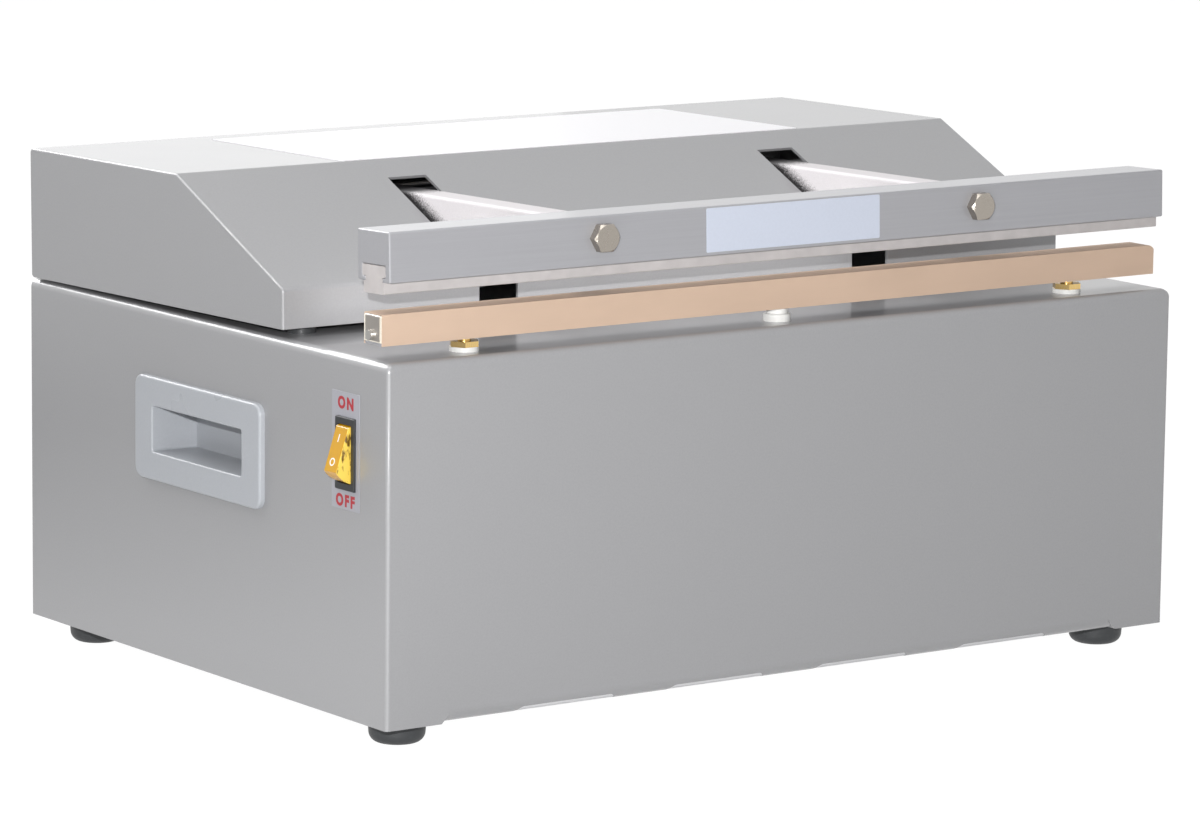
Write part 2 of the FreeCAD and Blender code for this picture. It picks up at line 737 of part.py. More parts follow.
def arm(sign):
    """Tapered bar from the pivot shaft to the jaw bar, with softened edges."""
    rise = math.radians(arm_fall)
    start = jaw_y + upper_bar_width / 2
    top = pivot + V(0, -math.sin(rise), math.cos(rise)) * arm_end_radius
    bottom = pivot - V(0, 0, arm_end_radius)
    end = pivot + V(0, arm_end_radius, 0)
    nose = V(0, start, top.z - (top.y - start) * math.tan(rise))
    heel = V(0, start, bottom.z)
    edges = [Part.LineSegment(heel, nose).toShape(), Part.LineSegment(nose, top).toShape(),
             Part.Arc(top, end, bottom).toShape(), Part.LineSegment(bottom, heel).toShape()]
    face = Part.Face(Part.Wire(edges))
    x = sign * arm_offset
    face.translate(V(x - arm_width / 2, 0, 0))
    bar = face.extrude(V(arm_width, 0, 0))
    long_edges = [e for e in bar.Edges if e.BoundBox.XLength < 0.01 and e.BoundBox.YMax > start + 1]
    bar = bar.makeFillet(arm_edge_radius, long_edges)
    bar = bar.cut(axle(shaft_radius + running_play / 2, x - 20, x + 20, pivot.y, pivot.z))
    bolt_z = deck + jaw_bolt_height
    bar = bar.cut(rod(jaw_bolt_radius + screw_play, V(x, start - 1, bolt_z), V(x, start + 20, bolt_z)))
    return opened(bar.cut(axle(tie_screw_radius + screw_play, x - 20, x + 20, tie_y, pivot.z)))


def tie_bar():
    """Bar between the arms with a lug for the drive link and holes for the stop bolts."""
    half = arm_offset - arm_width / 2
    outline = slab(tie_y - tie_depth / 2, tie_y + tie_depth / 2, tie_low, tie_high, 1.0)
    bar = prism(outline, "yz", -half, half)
    link_y = front + link_back
    lug = block(-lug_half_width, lug_half_width, tie_y, link_y, pivot.z - lug_radius, pivot.z + lug_radius)
    lug = lug.fuse(axle(lug_radius, -lug_half_width, lug_half_width, link_y, pivot.z))
    bar = bar.fuse(lug).removeSplitter()
    bar = bar.cut(axle(link_pin_radius + link_play, -20, 20, link_y, pivot.z))
    for sign in (-1, 1):
        x = sign * spring_offset
        bar = bar.cut(post(stop_bolt_radius + 1, x, tie_y, tie_low - 1, tie_high + 1))
        bar = bar.cut(axle(tie_screw_radius + screw_play, sign * half, sign * (half - 22), tie_y, pivot.z))
    return opened(bar)


def tie_bar_screws():
    """Socket screws through the arms into the tie bar's ends."""
    screws = []
    outer = arm_offset + arm_width / 2
    for sign in (-1, 1):
        face = V(sign * outer, tie_y, pivot.z)
        out = V(sign, 0, 0)
        head = rod(5, face, face + out * 6)
        socket = hexagon(5.0, face + out * 3, face + out * 6)
        screws.append(head.cut(socket).fuse(rod(tie_screw_radius, face - out * 32, face)))
    return opened(together(screws))


def pivot_shaft():
    """Steel shaft that the arms turn on."""
    reach = bearing_inner + bearing_width + 9
    shaft = axle(shaft_radius, -reach, reach, pivot.y, pivot.z)
    return shaft.makeChamfer(0.8, [e for e in shaft.Edges if e.Curve.TypeId == "Part::GeomCircle"])


def shaft_collars():
    """Clamp collars that keep the shaft from sliding."""
    collars = []
    start = bearing_inner + bearing_width + 0.4
    for sign in (-1, 1):
        collars.append(ring(11, shaft_radius + running_play / 2, V(sign * start, pivot.y, pivot.z),
                            V(sign * (start + 8), pivot.y, pivot.z)))
    return together(collars)


# Pivot bearings
def block_bolt_places(sign):
    """Middle of each bolt that holds one bearing block."""
    x = sign * (bearing_inner + bearing_width / 2)
    return [(x, pivot.y - block_bolt_reach), (x, pivot.y + block_bolt_reach)]


def bearing_block(sign):
    """Pedestal with a round head about the shaft."""
    x0 = bearing_inner if sign > 0 else -bearing_inner - bearing_width
    y = pivot.y
    base, head, top = bearing_base, bearing_head_radius, deck + bearing_base_height
    outline = [(y - base, deck, 0), (y + base, deck, 0), (y + base, top, 2), (y + head, top, 1),
               (y + head, pivot.z, 0), (y - head, pivot.z, 0), (y - head, top, 1), (y - base, top, 2)]
    body = prism(outline, "yz", x0, x0 + bearing_width)
    body = body.fuse(axle(head, x0, x0 + bearing_width, y, pivot.z)).removeSplitter()
    body = body.cut(axle(bush_radius + 0.02, x0 - 1, x0 + bearing_width + 1, y, pivot.z))
    for bolt_x, bolt_y in block_bolt_places(sign):
        body = body.cut(post(block_bolt_hole, bolt_x, bolt_y, deck - 1, top + 3))
    return body


def bearing_bushes():
    """Flanged bronze bushes."""
    bushes = []
    for sign in (-1, 1):
        start = V(sign * (bearing_inner - 3), pivot.y, pivot.z)
        face = V(sign * bearing_inner, pivot.y, pivot.z)
        end = V(sign * (bearing_inner + bearing_width), pivot.y, pivot.z)
        bush = rod(bush_radius + 2, start, face).fuse(rod(bush_radius, face, end))
        bushes.append(bush.cut(rod(shaft_radius + running_play, start, end)))
    return together(bushes)


def block_bolts():
    """Socket screws that hold the bearing blocks, with nuts under the deck."""
    pieces = []
    for sign in (-1, 1):
        for x, y in block_bolt_places(sign):
            top = deck + bearing_base_height
            head = post(5, x, y, top, top + 6).cut(hexagon(5, V(x, y, top + 3), V(x, y, top + 6)))
            pieces.append(head.fuse(post(block_bolt_radius, x, y, deck - 9, top)))
            nut = hexagon(10, V(x, y, inside_high - 5), V(x, y, inside_high))
            pieces.append(nut.cut(post(block_bolt_radius + screw_play, x, y, deck - 20, deck)))
    return together(pieces)


# Drive and return of the jaw
def stop_bolts():
    """Bolts through the return springs whose heads stop the open jaw."""
    pieces = []
    stop = tie_high + tie_lift + 0.6
    for sign in (-1, 1):
        x = sign * spring_offset
        head = hexagon(stop_bolt_flats, V(x, tie_y, stop), V(x, tie_y, stop + 4.4))
        pieces.append(head.fuse(post(stop_bolt_radius, x, tie_y, deck - 10, stop)))
        nut = hexagon(stop_bolt_flats, V(x, tie_y, inside_high - 6), V(x, tie_y, inside_high))
        pieces.append(nut.cut(post(stop_bolt_radius + screw_play, x, tie_y, deck - 20, deck)))
    return together(pieces)


def biarc(start, start_way, end, end_way):
    """Two arcs that leave one point and reach another along given directions."""
    chord = end - start
    ways = start_way + end_way
    a = ways.dot(ways) - 4
    b = -2 * chord.dot(ways)
    c = chord.dot(chord)
    reach = (-b - math.sqrt(b * b - 4 * a * c)) / (2 * a)
    if reach < 0:
        reach = (-b + math.sqrt(b * b - 4 * a * c)) / (2 * a)
    near, far = start + start_way * reach, end - end_way * reach
    middle = (near + far) * 0.5
    arcs = []
    for first, corner, last in ((start, near, middle), (middle, far, end)):
        back, on = (first - corner).normalize(), (last - corner).normalize()
        half_angle = back.getAngle(on) / 2
        bend = reach * math.tan(half_angle)
        tip = corner + (back + on).normalize() * (bend / math.sin(half_angle) - bend)
        arcs.append(Part.Arc(first, tip, last).toShape())
    return arcs


def return_spring(sign):
    """Compression spring between the deck and the tie bar, at its open length."""
    half_wire = spring_wire / 2
    seat_drop = (spring_radius + half_wire) * open_sine
    bottom = deck + half_wire + 0.02
    top = tie_low + tie_lift - seat_drop - half_wire - 0.1
    climb = (top - bottom) / spring_turns
    steps = spring_turns * 4
    x = sign * spring_offset

    def point(step):
        angle = math.pi / 2 * step
        return V(x + spring_radius * math.cos(angle), tie_y + spring_radius * math.sin(angle),
                 bottom + climb * step / 4)

    def way(step):
        angle = math.pi / 2 * step
        round_way = 2 * math.pi * spring_radius
        return V(-round_way * math.sin(angle), round_way * math.cos(angle), climb).normalize()

    edges = []
    for step in range(steps):
        edges += biarc(point(step), way(step), point(step + 1), way(step + 1))
    print("return spring: least gap between turns", round(climb * math.cos(math.atan2(
        climb, 2 * math.pi * spring_radius)) - spring_wire, 2))
    section = Part.Wire(Part.makeCircle(half_wire, point(0), way(0)))
    return Part.Wire(edges).makePipeShell([section], True, False)


def solenoid_frame():
    """Open steel frame under the deck with the fixed pole on its floor."""
    top = inside_high
    frame = block(-25, 25, rod_y - 22, rod_y + 22, top - 64, top)
    frame = frame.cut(block(-21, 21, rod_y - 23, rod_y + 23, top - 60, top - 4))
    frame = frame.cut(post(plunger_radius + 1.0, 0, rod_y, top - 5, top + 1))
    return frame.fuse(post(plunger_radius, 0, rod_y, top - 60, deck + plunger_low - pole_gap))


def solenoid_coil():
    """Bobbin and winding round the plunger."""
    top, bottom = inside_high - 4, inside_high - 60
    bore, winding, flange, thick = plunger_radius + 0.6, 18.5, 20.5, 2.5
    outline = [(bore, bottom, 0), (flange, bottom, 0), (flange, bottom + thick, 0),
               (winding, bottom + thick, 0), (winding, top - thick, 0), (flange, top - thick, 0),
               (flange, top, 0), (bore, top, 0)]
    return turned(outline, 0, rod_y)


def plunger():
    """Round steel core that the coil draws down."""
    return post(plunger_radius, 0, rod_y, deck + plunger_low, deck + plunger_top)


def pull_rod():
    """Rod with a fork that takes the tie bar's lug."""
    inner = lug_half_width + 0.4
    outer = inner + 4
    z0, z1 = link_pin_z - 15, link_pin_z
    fork = block(-outer, outer, rod_y - 6, rod_y + 6, z0, z1)
    fork = fork.fuse(axle(6, -outer, outer, rod_y, z1)).removeSplitter()
    fork = fork.cut(block(-inner, inner, rod_y - 7, rod_y + 7, z0 + 7, z1 + 7))
    fork = fork.cut(axle(link_pin_radius + 0.02, -20, 20, rod_y, z1))
    return fork.fuse(post(4, 0, rod_y, deck + plunger_top, z0))


def link_pin():
    """Headed pin through the fork and the lug."""
    outer = lug_half_width + 4.4
    pin = axle(link_pin_radius, -outer - 2, outer, rod_y, link_pin_z)
    return pin.fuse(axle(4.5, outer, outer + 2, rod_y, link_pin_z))


# Hood
def hood_profile(inset, bottom):
    """Side view of the hood, drawn in by the sheet for the hollow."""
    top = hood_low + hood_height - inset
    slant_y = rear - hood_top_depth
    slant_run = slant_y - hood_front
    slant_drop = hood_height - hood_lip
    slant_angle = math.atan2(slant_drop, slant_run)
    bend_shift = inset * math.tan(slant_angle / 2)
    lip_shift = inset * math.tan((math.pi / 2 - slant_angle) / 2)
    bend = hood_bend - inset
    back = rear - inset
    return [
        (back, bottom, 0), (back, top, max(2.0 - inset, 0.3)),
        (slant_y + bend_shift, top, bend), (hood_front + inset, hood_low + hood_lip - lip_shift, bend),
        (hood_front + inset, bottom, 0),
    ]


def arm_slot(sign):
    """Cutter for one slot, from part way down the slant to below the lip."""
    slant_y = rear - hood_top_depth
    run, drop = slant_y - hood_front, hood_height - hood_lip
    length = math.hypot(run, drop)
    down = V(0, -run / length, -drop / length)
    across = V(0, -drop / length, run / length)
    start = V(0, slant_y, hood_low + hood_height) + down * arm_slot_start
    outer, inner = start + across * 6, start - across * 6
    corners = [(outer.y, outer.z, 0), (inner.y, inner.z, 0), (hood_front + 8, hood_low + 4, 0),
               (hood_front + 8, hood_low - 5, 0), (hood_front - 8, hood_low - 5, 0),
               (hood_front - 8, hood_low + hood_lip + 4, 0)]
    x = sign * arm_offset
    return prism(corners, "yz", x - arm_slot_width / 2, x + arm_slot_width / 2)


def hood_shell():
    """Folded hood, open below, slotted for the arms, with a rest tab behind each end of its lip."""
    outer = prism(hood_profile(0, hood_low), "yz", -side, side)
    rims = [e for e in outer.Edges if e.BoundBox.XLength < 0.01 and e.BoundBox.ZMax > hood_low + 0.1]
    outer = outer.makeFillet(hood_edge_radius, rims)
    corner_y, corner_z = rear - hood_rear_corner, hood_low + hood_rear_corner
    corner = block(-side - 1, side + 1, corner_y, rear + 1, hood_low - 1, corner_z)
    outer = outer.cut(corner.cut(axle(hood_rear_corner, -side - 1, side + 1, corner_y, corner_z)))
    half = side - hood_sheet
    shell = outer.cut(prism(hood_profile(hood_sheet, hood_low - 1), "yz", -half, half))
    for sign in (-1, 1):
        x0, x1 = sorted((sign * half, sign * (half - 30)))
        y0, y1 = hood_front + hood_sheet, hood_front + 26
        shell = shell.fuse(block(x0, x1, y0, y1, hood_low, hood_low + hood_sheet))
        shell = shell.cut(arm_slot(sign))
    return seated_hood(shell.removeSplitter())


def knuckle_spans(sign, middle):
    """Stretches of X along one hinge that its hood leaf, or its base leaf, has knuckles on."""
    centre = sign * hinge_offset
    third = hinge_length / 6
    if middle:
        return [(centre - third + 0.3, centre + third - 0.3)]
    end = hinge_length / 2
    return [(centre - end, centre - third), (centre + third, centre + end)]


def hinge_leaf_pair(middle, bore, z0, z1):
    """Flat leaves with rolled knuckles, clear of the other leaf's knuckles."""
    y, z = hinge_axis.y, hinge_axis.z
    leaves = []
    for sign in (-1, 1):
        centre = sign * hinge_offset
        left, right = centre - hinge_length / 2, centre + hinge_length / 2
        leaf = block(left, right, rear, rear + hinge_leaf, z0, z1)
        for x0, x1 in knuckle_spans(sign, not middle):
            leaf = leaf.cut(axle(knuckle_radius + 0.35, x0 - 0.3, x1 + 0.3, y, z))
        for x0, x1 in knuckle_spans(sign, middle):
            leaf = leaf.fuse(axle(knuckle_radius, x0, x1, y, z))
        leaves.append(leaf.cut(axle(bore, left - 10, right + 10, y, z)))
    return leaves


def hinge_base_leaves():
    """Fixed leaves on the rear of the cabinet."""
    return together(hinge_leaf_pair(False, hinge_pin_radius + 0.02, deck - 24, hinge_axis.z))


def hinge_hood_leaves():
    """Moving leaves on the rear of the hood."""
    leaves = hinge_leaf_pair(True, hinge_pin_radius + running_play, hinge_axis.z, deck + 26)
    return seated_hood(together(leaves))


def hinge_pins():
    """Pins along both hinges."""
    reach = hinge_length / 2
    y, z = hinge_axis.y, hinge_axis.z
    middles = (-hinge_offset, hinge_offset)
    return together([axle(hinge_pin_radius, x - reach, x + reach, y, z) for x in middles])


def hood_bumpers():
    """Rubber buttons on the deck that the hood's rest tabs sit on."""
    y = front + bumper_back
    reach = hinge_axis.y - (y + bumper_radius)
    tab = hood_low - hinge_axis.z
    top = hinge_axis.z + reach * math.sin(math.radians(hood_tilt)) + tab - 0.08
    outline = [(0, deck, 0), (bumper_radius, deck, 0), (bumper_radius, top, 0.5), (0, top, 0)]
    return together([turned(outline, sign * bumper_offset, y) for sign in (-1, 1)])


# Electrical pieces inside the cabinet
def lead_lugs():
    """Ring lugs on the terminal studs, with barrels for the leads."""
    lugs = []
    for sign in (-1, 1):
        x = sign * stud_offset
        z0, z1 = deck - 4.5, deck - 3.5
        plate = post(5.5, x, jaw_y, z0, z1).fuse(block(x - 3, x + 3, jaw_y, jaw_y + 14, z0, z1))
        barrel = rod(3.2, V(x, jaw_y + 12, z1 - 3.2), V(x, jaw_y + 22, z1 - 3.2))
        lugs.append(plate.fuse(barrel).cut(post(stud_radius + screw_play, x, jaw_y, deck - 9, deck)))
    return together(lugs)


def heater_leads():
    """Insulated leads from the lugs to the transformer."""
    start_y, start_z = jaw_y + 22, deck - 6.7
    tap_y, tap_z = core_place[2] - 14, core_place[5] - 24
    right = [V(stud_offset, start_y, start_z), V(stud_offset, start_y + 40, start_z),
             V(150, front + 112, deck - 52), V(132, tap_y - 34, tap_z), V(132, tap_y, tap_z)]
    left = [V(-stud_offset, start_y, start_z), V(-stud_offset, start_y + 44, start_z),
            V(-120, front + 106, deck - 60), V(-20, front + 110, deck - 82), V(60, front + 112, deck - 84),
            V(88, tap_y - 34, tap_z), V(88, tap_y, tap_z)]
    return together([tube(left, 3.0), tube(right, 3.0)])


def transformer_core():
    """Laminated core with a mounting strap under it."""
    x0, x1, y0, y1, z0, z1 = core_place
    core = block(x0, x1, y0, y1, z0 + 2, z1)
    for window in (x0 + 14, x1 - 28):
        core = core.cut(block(window, window + 14, y0 - 1, y1 + 1, z0 + 16, z1 - 14))
    return core.fuse(block(x0 - 14, x1 + 14, y0 + 8, y1 - 8, z0, z0 + 2))


def transformer_winding():
    """Winding on the core's middle limb."""
    x0, x1, y0, y1, z0, z1 = core_place
    z0 += 2
    coil = prism(slab(x0 + 15, x1 - 15, y0 - 14, y1 + 14, 6), "xy", z0 + 15, z1 - 15)
    return coil.cut(block(x0 + 27.8, x1 - 27.8, y0 - 0.2, y1 + 0.2, z0, z1))


def board_standoffs():
    """Posts that hold the control board above the tray."""
    x0, x1, y0, y1, z = board_place
    corners = [(x, y) for x in (x0 + 6, x1 - 6) for y in (y0 + 6, y1 - 6)]
    return together([post(3.5, x, y, tray_top, z) for x, y in corners])


def control_board():
    """Timer and power board."""
    x0, x1, y0, y1, z = board_place
    return prism(slab(x0, x1, y0, y1, 3), "xy", z, z + board_thickness)


def board_components():
    """Relay, capacitors, trimmers and terminal strip on the board."""
    x0, x1, y0, y1, z = board_place
    top = z + board_thickness
    pieces = [block(x0 + 14, x0 + 43, y0 + 14, y0 + 27, top, top + 16),
              prism(slab(x1 - 60, x1 - 10, y1 - 18, y1 - 8, 0.5), "xy", top, top + 12)]
    for step in range(3):
        centre = V(x0 + 66 + 18 * step, y0 + 24, top)
        pieces.append(rod(6.5, centre, centre + V(0, 0, 20)))
    for step in range(2):
        pieces.append(block(x0 + 16 + 16 * step, x0 + 26 + 16 * step, y1 - 30, y1 - 20, top, top + 9))
    return together(pieces)


# Fittings on the rear panel
def cut_corner_outline(half_wide, half_high, cut, radius):
    """Outline about the inlet's middle with its two upper corners cut."""
    x0, x1 = inlet_across - half_wide, inlet_across + half_wide
    z0, z1 = fitting_height - half_high, fitting_height + half_high
    return [(x0, z0, radius), (x1, z0, radius), (x1, z1 - cut, 0.5), (x1 - cut, z1, 0.5), (x0 + cut, z1, 0.5),
            (x0, z1 - cut, 0.5)]


def inlet_outline(play):
    """Outline of the inlet's body."""
    half_wide, half_high = 14.0 + play, 11.0 + play
    return cut_corner_outline(half_wide, half_high, 5.0, 1.0)


def inlet_recess():
    """Hollow that the mains connector goes into."""
    return cut_corner_outline(12.2, 8.4, 4.4, 0.8)


def mains_inlet():
    """Flush appliance inlet with two screw ears."""
    x, z = inlet_across, fitting_height
    body = prism(inlet_outline(0), "xz", rear - 24, rear)
    flange = prism(slab(x - 25, x + 25, z - 13.5, z + 13.5, 5), "xz", rear, rear + 3)
    inlet = body.fuse(flange).cut(prism(inlet_recess(), "xz", rear - 15, rear + 4))
    for sign in (-1, 1):
        inlet = inlet.cut(rod(1.7, V(x + sign * 20, rear - 2, z), V(x + sign * 20, rear + 4, z)))
    for place_x, place_z in inlet_pin_places():
        inlet = inlet.cut(block(place_x - 1, place_x + 1, rear - 30, rear, place_z - 2, place_z + 2))
    return inlet


def inlet_pin_places():
    """Middle of each contact pin of the inlet."""
    x, z = inlet_across, fitting_height
    return [(x - 7, z - 2), (x, z + 2), (x + 7, z - 2)]


def inlet_pins():
    """Flat contact pins that run through to solder tags."""
    y0, y1 = rear - 32, rear - 1.5
    return together([block(x - 1, x + 1, y0, y1, z - 2, z + 2) for x, z in inlet_pin_places()])


def fuse_holder():
    """Panel fuse holder with a slotted cap."""
    centre = V(fuse_across, rear, fitting_height)
    along = V(0, 1, 0)
    holder = rod(6, centre - along * 30, centre).fuse(rod(8.5, centre, centre + along * 2))
    holder = holder.fuse(rod(6.5, centre + along * 2, centre + along * 5))
    slot = block(-6, 6, 4, 6, -0.6, 0.6)
    return holder.cut(slot.translated(centre))


def foot_switch_jack():
    """Round jack for the foot switch that starts a seal."""
    centre = V(jack_across, rear, fitting_height)
    along = V(0, 1, 0)
    body = rod(5, centre - along * 16, centre + along * 4)
    body = body.fuse(hexagon(14, centre, centre + along * 2.5))
    body = body.fuse(block(-7, 7, -20, -3, -7, 7).translated(centre))
    return body.cut(rod(jack_bore_radius, centre + along * (4 - jack_bore_length), centre + along * 5))


SINGLE_PIECES = [
    base_shell, rear_panel, bottom_tray, foot_screws, handle_right, switch_housing, switch_rocker,
    switch_terminals, lower_bar, insulating_strip, heating_ribbon, release_tape, ribbon_clamp_screws,
    terminal_studs, terminal_nuts, insulating_washers, centre_support, upper_bar, pressure_pad, jaw_bolts,
    tie_bar, tie_bar_screws, pivot_shaft, shaft_collars, bearing_bushes, block_bolts, stop_bolts,
    solenoid_frame, solenoid_coil, plunger, pull_rod, link_pin, hood_shell, hinge_base_leaves,
    hinge_hood_leaves, hinge_pins, hood_bumpers, lead_lugs, heater_leads, transformer_core,
    transformer_winding, board_standoffs, control_board, board_components, mains_inlet, inlet_pins,
    fuse_holder, foot_switch_jack,
]
PIECES = {make.__name__: make for make in SINGLE_PIECES}
PIECES["handle_left"] = lambda: mirrored(handle_right())
for make in (arm, bearing_block, return_spring):
    PIECES[make.__name__ + "_left"] = lambda make=make: make(-1)
    PIECES[make.__name__ + "_right"] = lambda make=make: make(1)
for foot_place in foot_places:
    PIECES["foot_" + foot_place] = lambda place=foot_place: foot(place)

os.makedirs("parts", exist_ok=True)
for name, make in PIECES.items():
    shape = make()
    if not shape.isValid() or shape.Volume <= 0:
        raise ValueError(name + " is not a sound solid")
    shape.exportStep("parts/" + name + ".step")
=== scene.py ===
"""Finishes, plates and small fittings of a bench-top impulse heat sealer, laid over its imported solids."""

import json
import math

import bpy
from mathutils import Matrix, Vector


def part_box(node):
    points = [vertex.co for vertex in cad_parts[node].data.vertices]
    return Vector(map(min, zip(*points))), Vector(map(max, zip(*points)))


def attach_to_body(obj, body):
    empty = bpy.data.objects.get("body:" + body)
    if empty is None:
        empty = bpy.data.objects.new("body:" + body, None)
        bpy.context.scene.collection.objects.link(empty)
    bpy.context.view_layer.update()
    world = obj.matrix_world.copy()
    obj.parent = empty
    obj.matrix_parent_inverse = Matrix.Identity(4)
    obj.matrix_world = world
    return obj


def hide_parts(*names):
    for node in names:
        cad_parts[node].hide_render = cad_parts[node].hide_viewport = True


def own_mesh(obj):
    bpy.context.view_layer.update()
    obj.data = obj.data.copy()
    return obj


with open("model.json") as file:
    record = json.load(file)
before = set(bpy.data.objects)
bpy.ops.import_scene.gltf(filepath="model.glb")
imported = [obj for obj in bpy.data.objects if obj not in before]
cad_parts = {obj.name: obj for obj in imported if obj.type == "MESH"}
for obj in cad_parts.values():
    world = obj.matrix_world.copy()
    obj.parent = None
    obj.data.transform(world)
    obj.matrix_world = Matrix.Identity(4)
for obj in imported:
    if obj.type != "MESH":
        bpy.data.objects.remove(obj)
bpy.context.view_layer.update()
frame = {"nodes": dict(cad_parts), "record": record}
NODES = frame["nodes"]
MM = 0.001

bl_info = {
    "name": "Impulse heat sealer",
    "version": (1, 0, 0),
    "blender": (4, 5, 0),
    "location": "View3D > Sidebar > Sealer",
    "description": "Dresses the packed solids of a bench-top impulse heat sealer",
    "category": "Object",
}


def joint(name):
    """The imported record's entry for one joint."""
    return next(entry for entry in frame["record"]["behaviour"]["joints"] if entry["name"] == name)


CABINET_LOW, CABINET_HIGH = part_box("base_shell")
DECK = CABINET_HIGH.z
# At rest the jaw stands open and leans back by the whole of its swing.
JAW_SWING = math.radians(joint("jaw_pivot")["range_deg"][1])
HOOD_HINGE = Vector(joint("hood_hinge")["pos_m"])
HOOD_TILT = math.radians(0.85)
HOOD_UP = Vector((0, math.sin(HOOD_TILT), math.cos(HOOD_TILT)))
HOOD_BACK = Vector((0, math.cos(HOOD_TILT), -math.sin(HOOD_TILT)))
INK_THICKNESS = 0.1 * MM
MERGE_DISTANCE = 0.005 * MM


def linear(hex_colour):
    """Linear colour of an sRGB hex value."""
    channels = [int(hex_colour[start:start + 2], 16) / 255 for start in (1, 3, 5)]
    return tuple(c / 12.92 if c <= 0.04045 else ((c + 0.055) / 1.055) ** 2.4 for c in channels) + (1.0,)


def length(name, description, millimetres):
    """Property that holds a length."""
    return bpy.props.FloatProperty(name=name, description=description, default=millimetres * MM,
                                   unit="LENGTH", precision=5)


def colour(name, description, hex_colour):
    """Property that holds a colour."""
    return bpy.props.FloatVectorProperty(name=name, description=description, default=linear(hex_colour),
                                         size=4, subtype="COLOR", min=0.0, max=1.0)


class SealerSizes(bpy.types.PropertyGroup):
    plate_thickness: length("Plate thickness", "Thickness of the printed plates", 0.25)
    switch_plate_width: length("Switch plate width", "Width of the plate round the switch", 20.0)
    switch_plate_height: length("Switch plate height", "Height of the plate round the switch", 47.4)
    letter_height: length("Letter height", "Height of the words on the switch plate", 4.7)
    mark_height: length("Mark height", "Height of the marks on the rocker", 3.3)
    jaw_plate_width: length("Jaw plate width", "Length of the bare plate on the upper bar", 89.8)
    jaw_plate_height: length("Jaw plate height", "Height of the bare plate on the upper bar", 18.2)
    hood_plate_width: length("Hood plate width", "Length of the bare plate on the hood", 242.0)
    hood_plate_depth: length("Hood plate depth", "Depth of the bare plate on the hood", 105.0)
    vent_length: length("Vent length", "Length of the tabs in the vent slots", 49.6)
    vent_depth: length("Vent depth", "Depth of the tabs in the vent slots, seen from below", 7.8)
    vent_pitch: length("Vent pitch", "Distance between the vent slots' middles", 76.2)
    fold_radius: length("Fold radius", "Outer radius of the lower front fold", 5.5)
    tab_inset: length("Tab inset", "How far the tabs lie inside the fold's skin", 0.15)
    tab_thickness: length("Tab thickness", "Thickness of the tabs in the vent slots", 1.2)
    screw_head: length("Screw head", "Diameter of the small pan-head screws", 6.0)
    spring_wire: length("Spring wire", "Diameter of the return springs' wire", 1.8)


class SealerColours(bpy.types.PropertyGroup):
    enamel: colour("Enamel", "Silver enamel of the cabinet and hood", "#99999B")
    aluminium: colour("Aluminium", "Extruded bars", "#A0A0A4")
    arm: colour("Arm enamel", "Light enamel of the arms", "#E3DFE1")
    tape: colour("Release tape", "Coated glass cloth", "#CAB09B")
    silicone: colour("Silicone", "Pressure pad", "#B6B1B0")
    handle: colour("Handle plastic", "Pocket handles", "#A6A9AE")
    rocker: colour("Rocker", "Amber plastic of the switch", "#D6A300")
    letters: colour("Letters", "Words on the switch plate", "#A2242F")
    plate: colour("Switch plate", "Plate round the switch", "#9D9DA4")
    jaw_plate: colour("Jaw plate", "Bare plate on the upper bar", "#C4CAD8")
    hood_plate: colour("Hood plate", "Plate on the hood", "#F2F1F4")


# Nodes and materials
# A Mix node has sockets of one name for numbers, vectors and colours, so those for colours go by number.
COLOUR_A, COLOUR_B, MIXED = 6, 7, 2


def add_node(tree, kind, inputs=None, **settings):
    """Adds a node with its settings. An input is a fixed value, or a node and the output that feeds it."""
    made = tree.nodes.new(kind)
    for key, value in settings.items():
        setattr(made, key, value)
    for key, value in (inputs or {}).items():
        if isinstance(value, tuple) and isinstance(value[0], bpy.types.Node):
            tree.links.new(value[0].outputs[value[1]], made.inputs[key])
        else:
            made.inputs[key].default_value = value
    return made


def new_tree(name):
    """Empty material, its node tree and the output that gives places on the piece."""
    material = bpy.data.materials.new(name)
    material.use_nodes = True
    tree = material.node_tree
    tree.nodes.clear()
    return material, tree, (add_node(tree, "ShaderNodeTexCoord"), "Object")


def closed(material, inputs):
    """Finishes a material with one Principled shader."""
    shader = add_node(material.node_tree, "ShaderNodeBsdfPrincipled", inputs)
    add_node(material.node_tree, "ShaderNodeOutputMaterial", {"Surface": (shader, "BSDF")})
    return material


def per_mm(size):
    """Texture scale whose blotches are a given number of millimetres across."""
    return 1 / (size * MM)


def bands(size):
    """Wave scale whose bands lie a given number of millimetres apart."""
    # At a scale of 1, the wave turns by 20 radians for each metre.
    turned = 20
    return math.tau / turned / (size * MM)


def dimmed(rgba, factor):
    """The same colour, darker or lighter."""
    return tuple(min(1.0, c * factor) for c in rgba[:3]) + (1.0,)


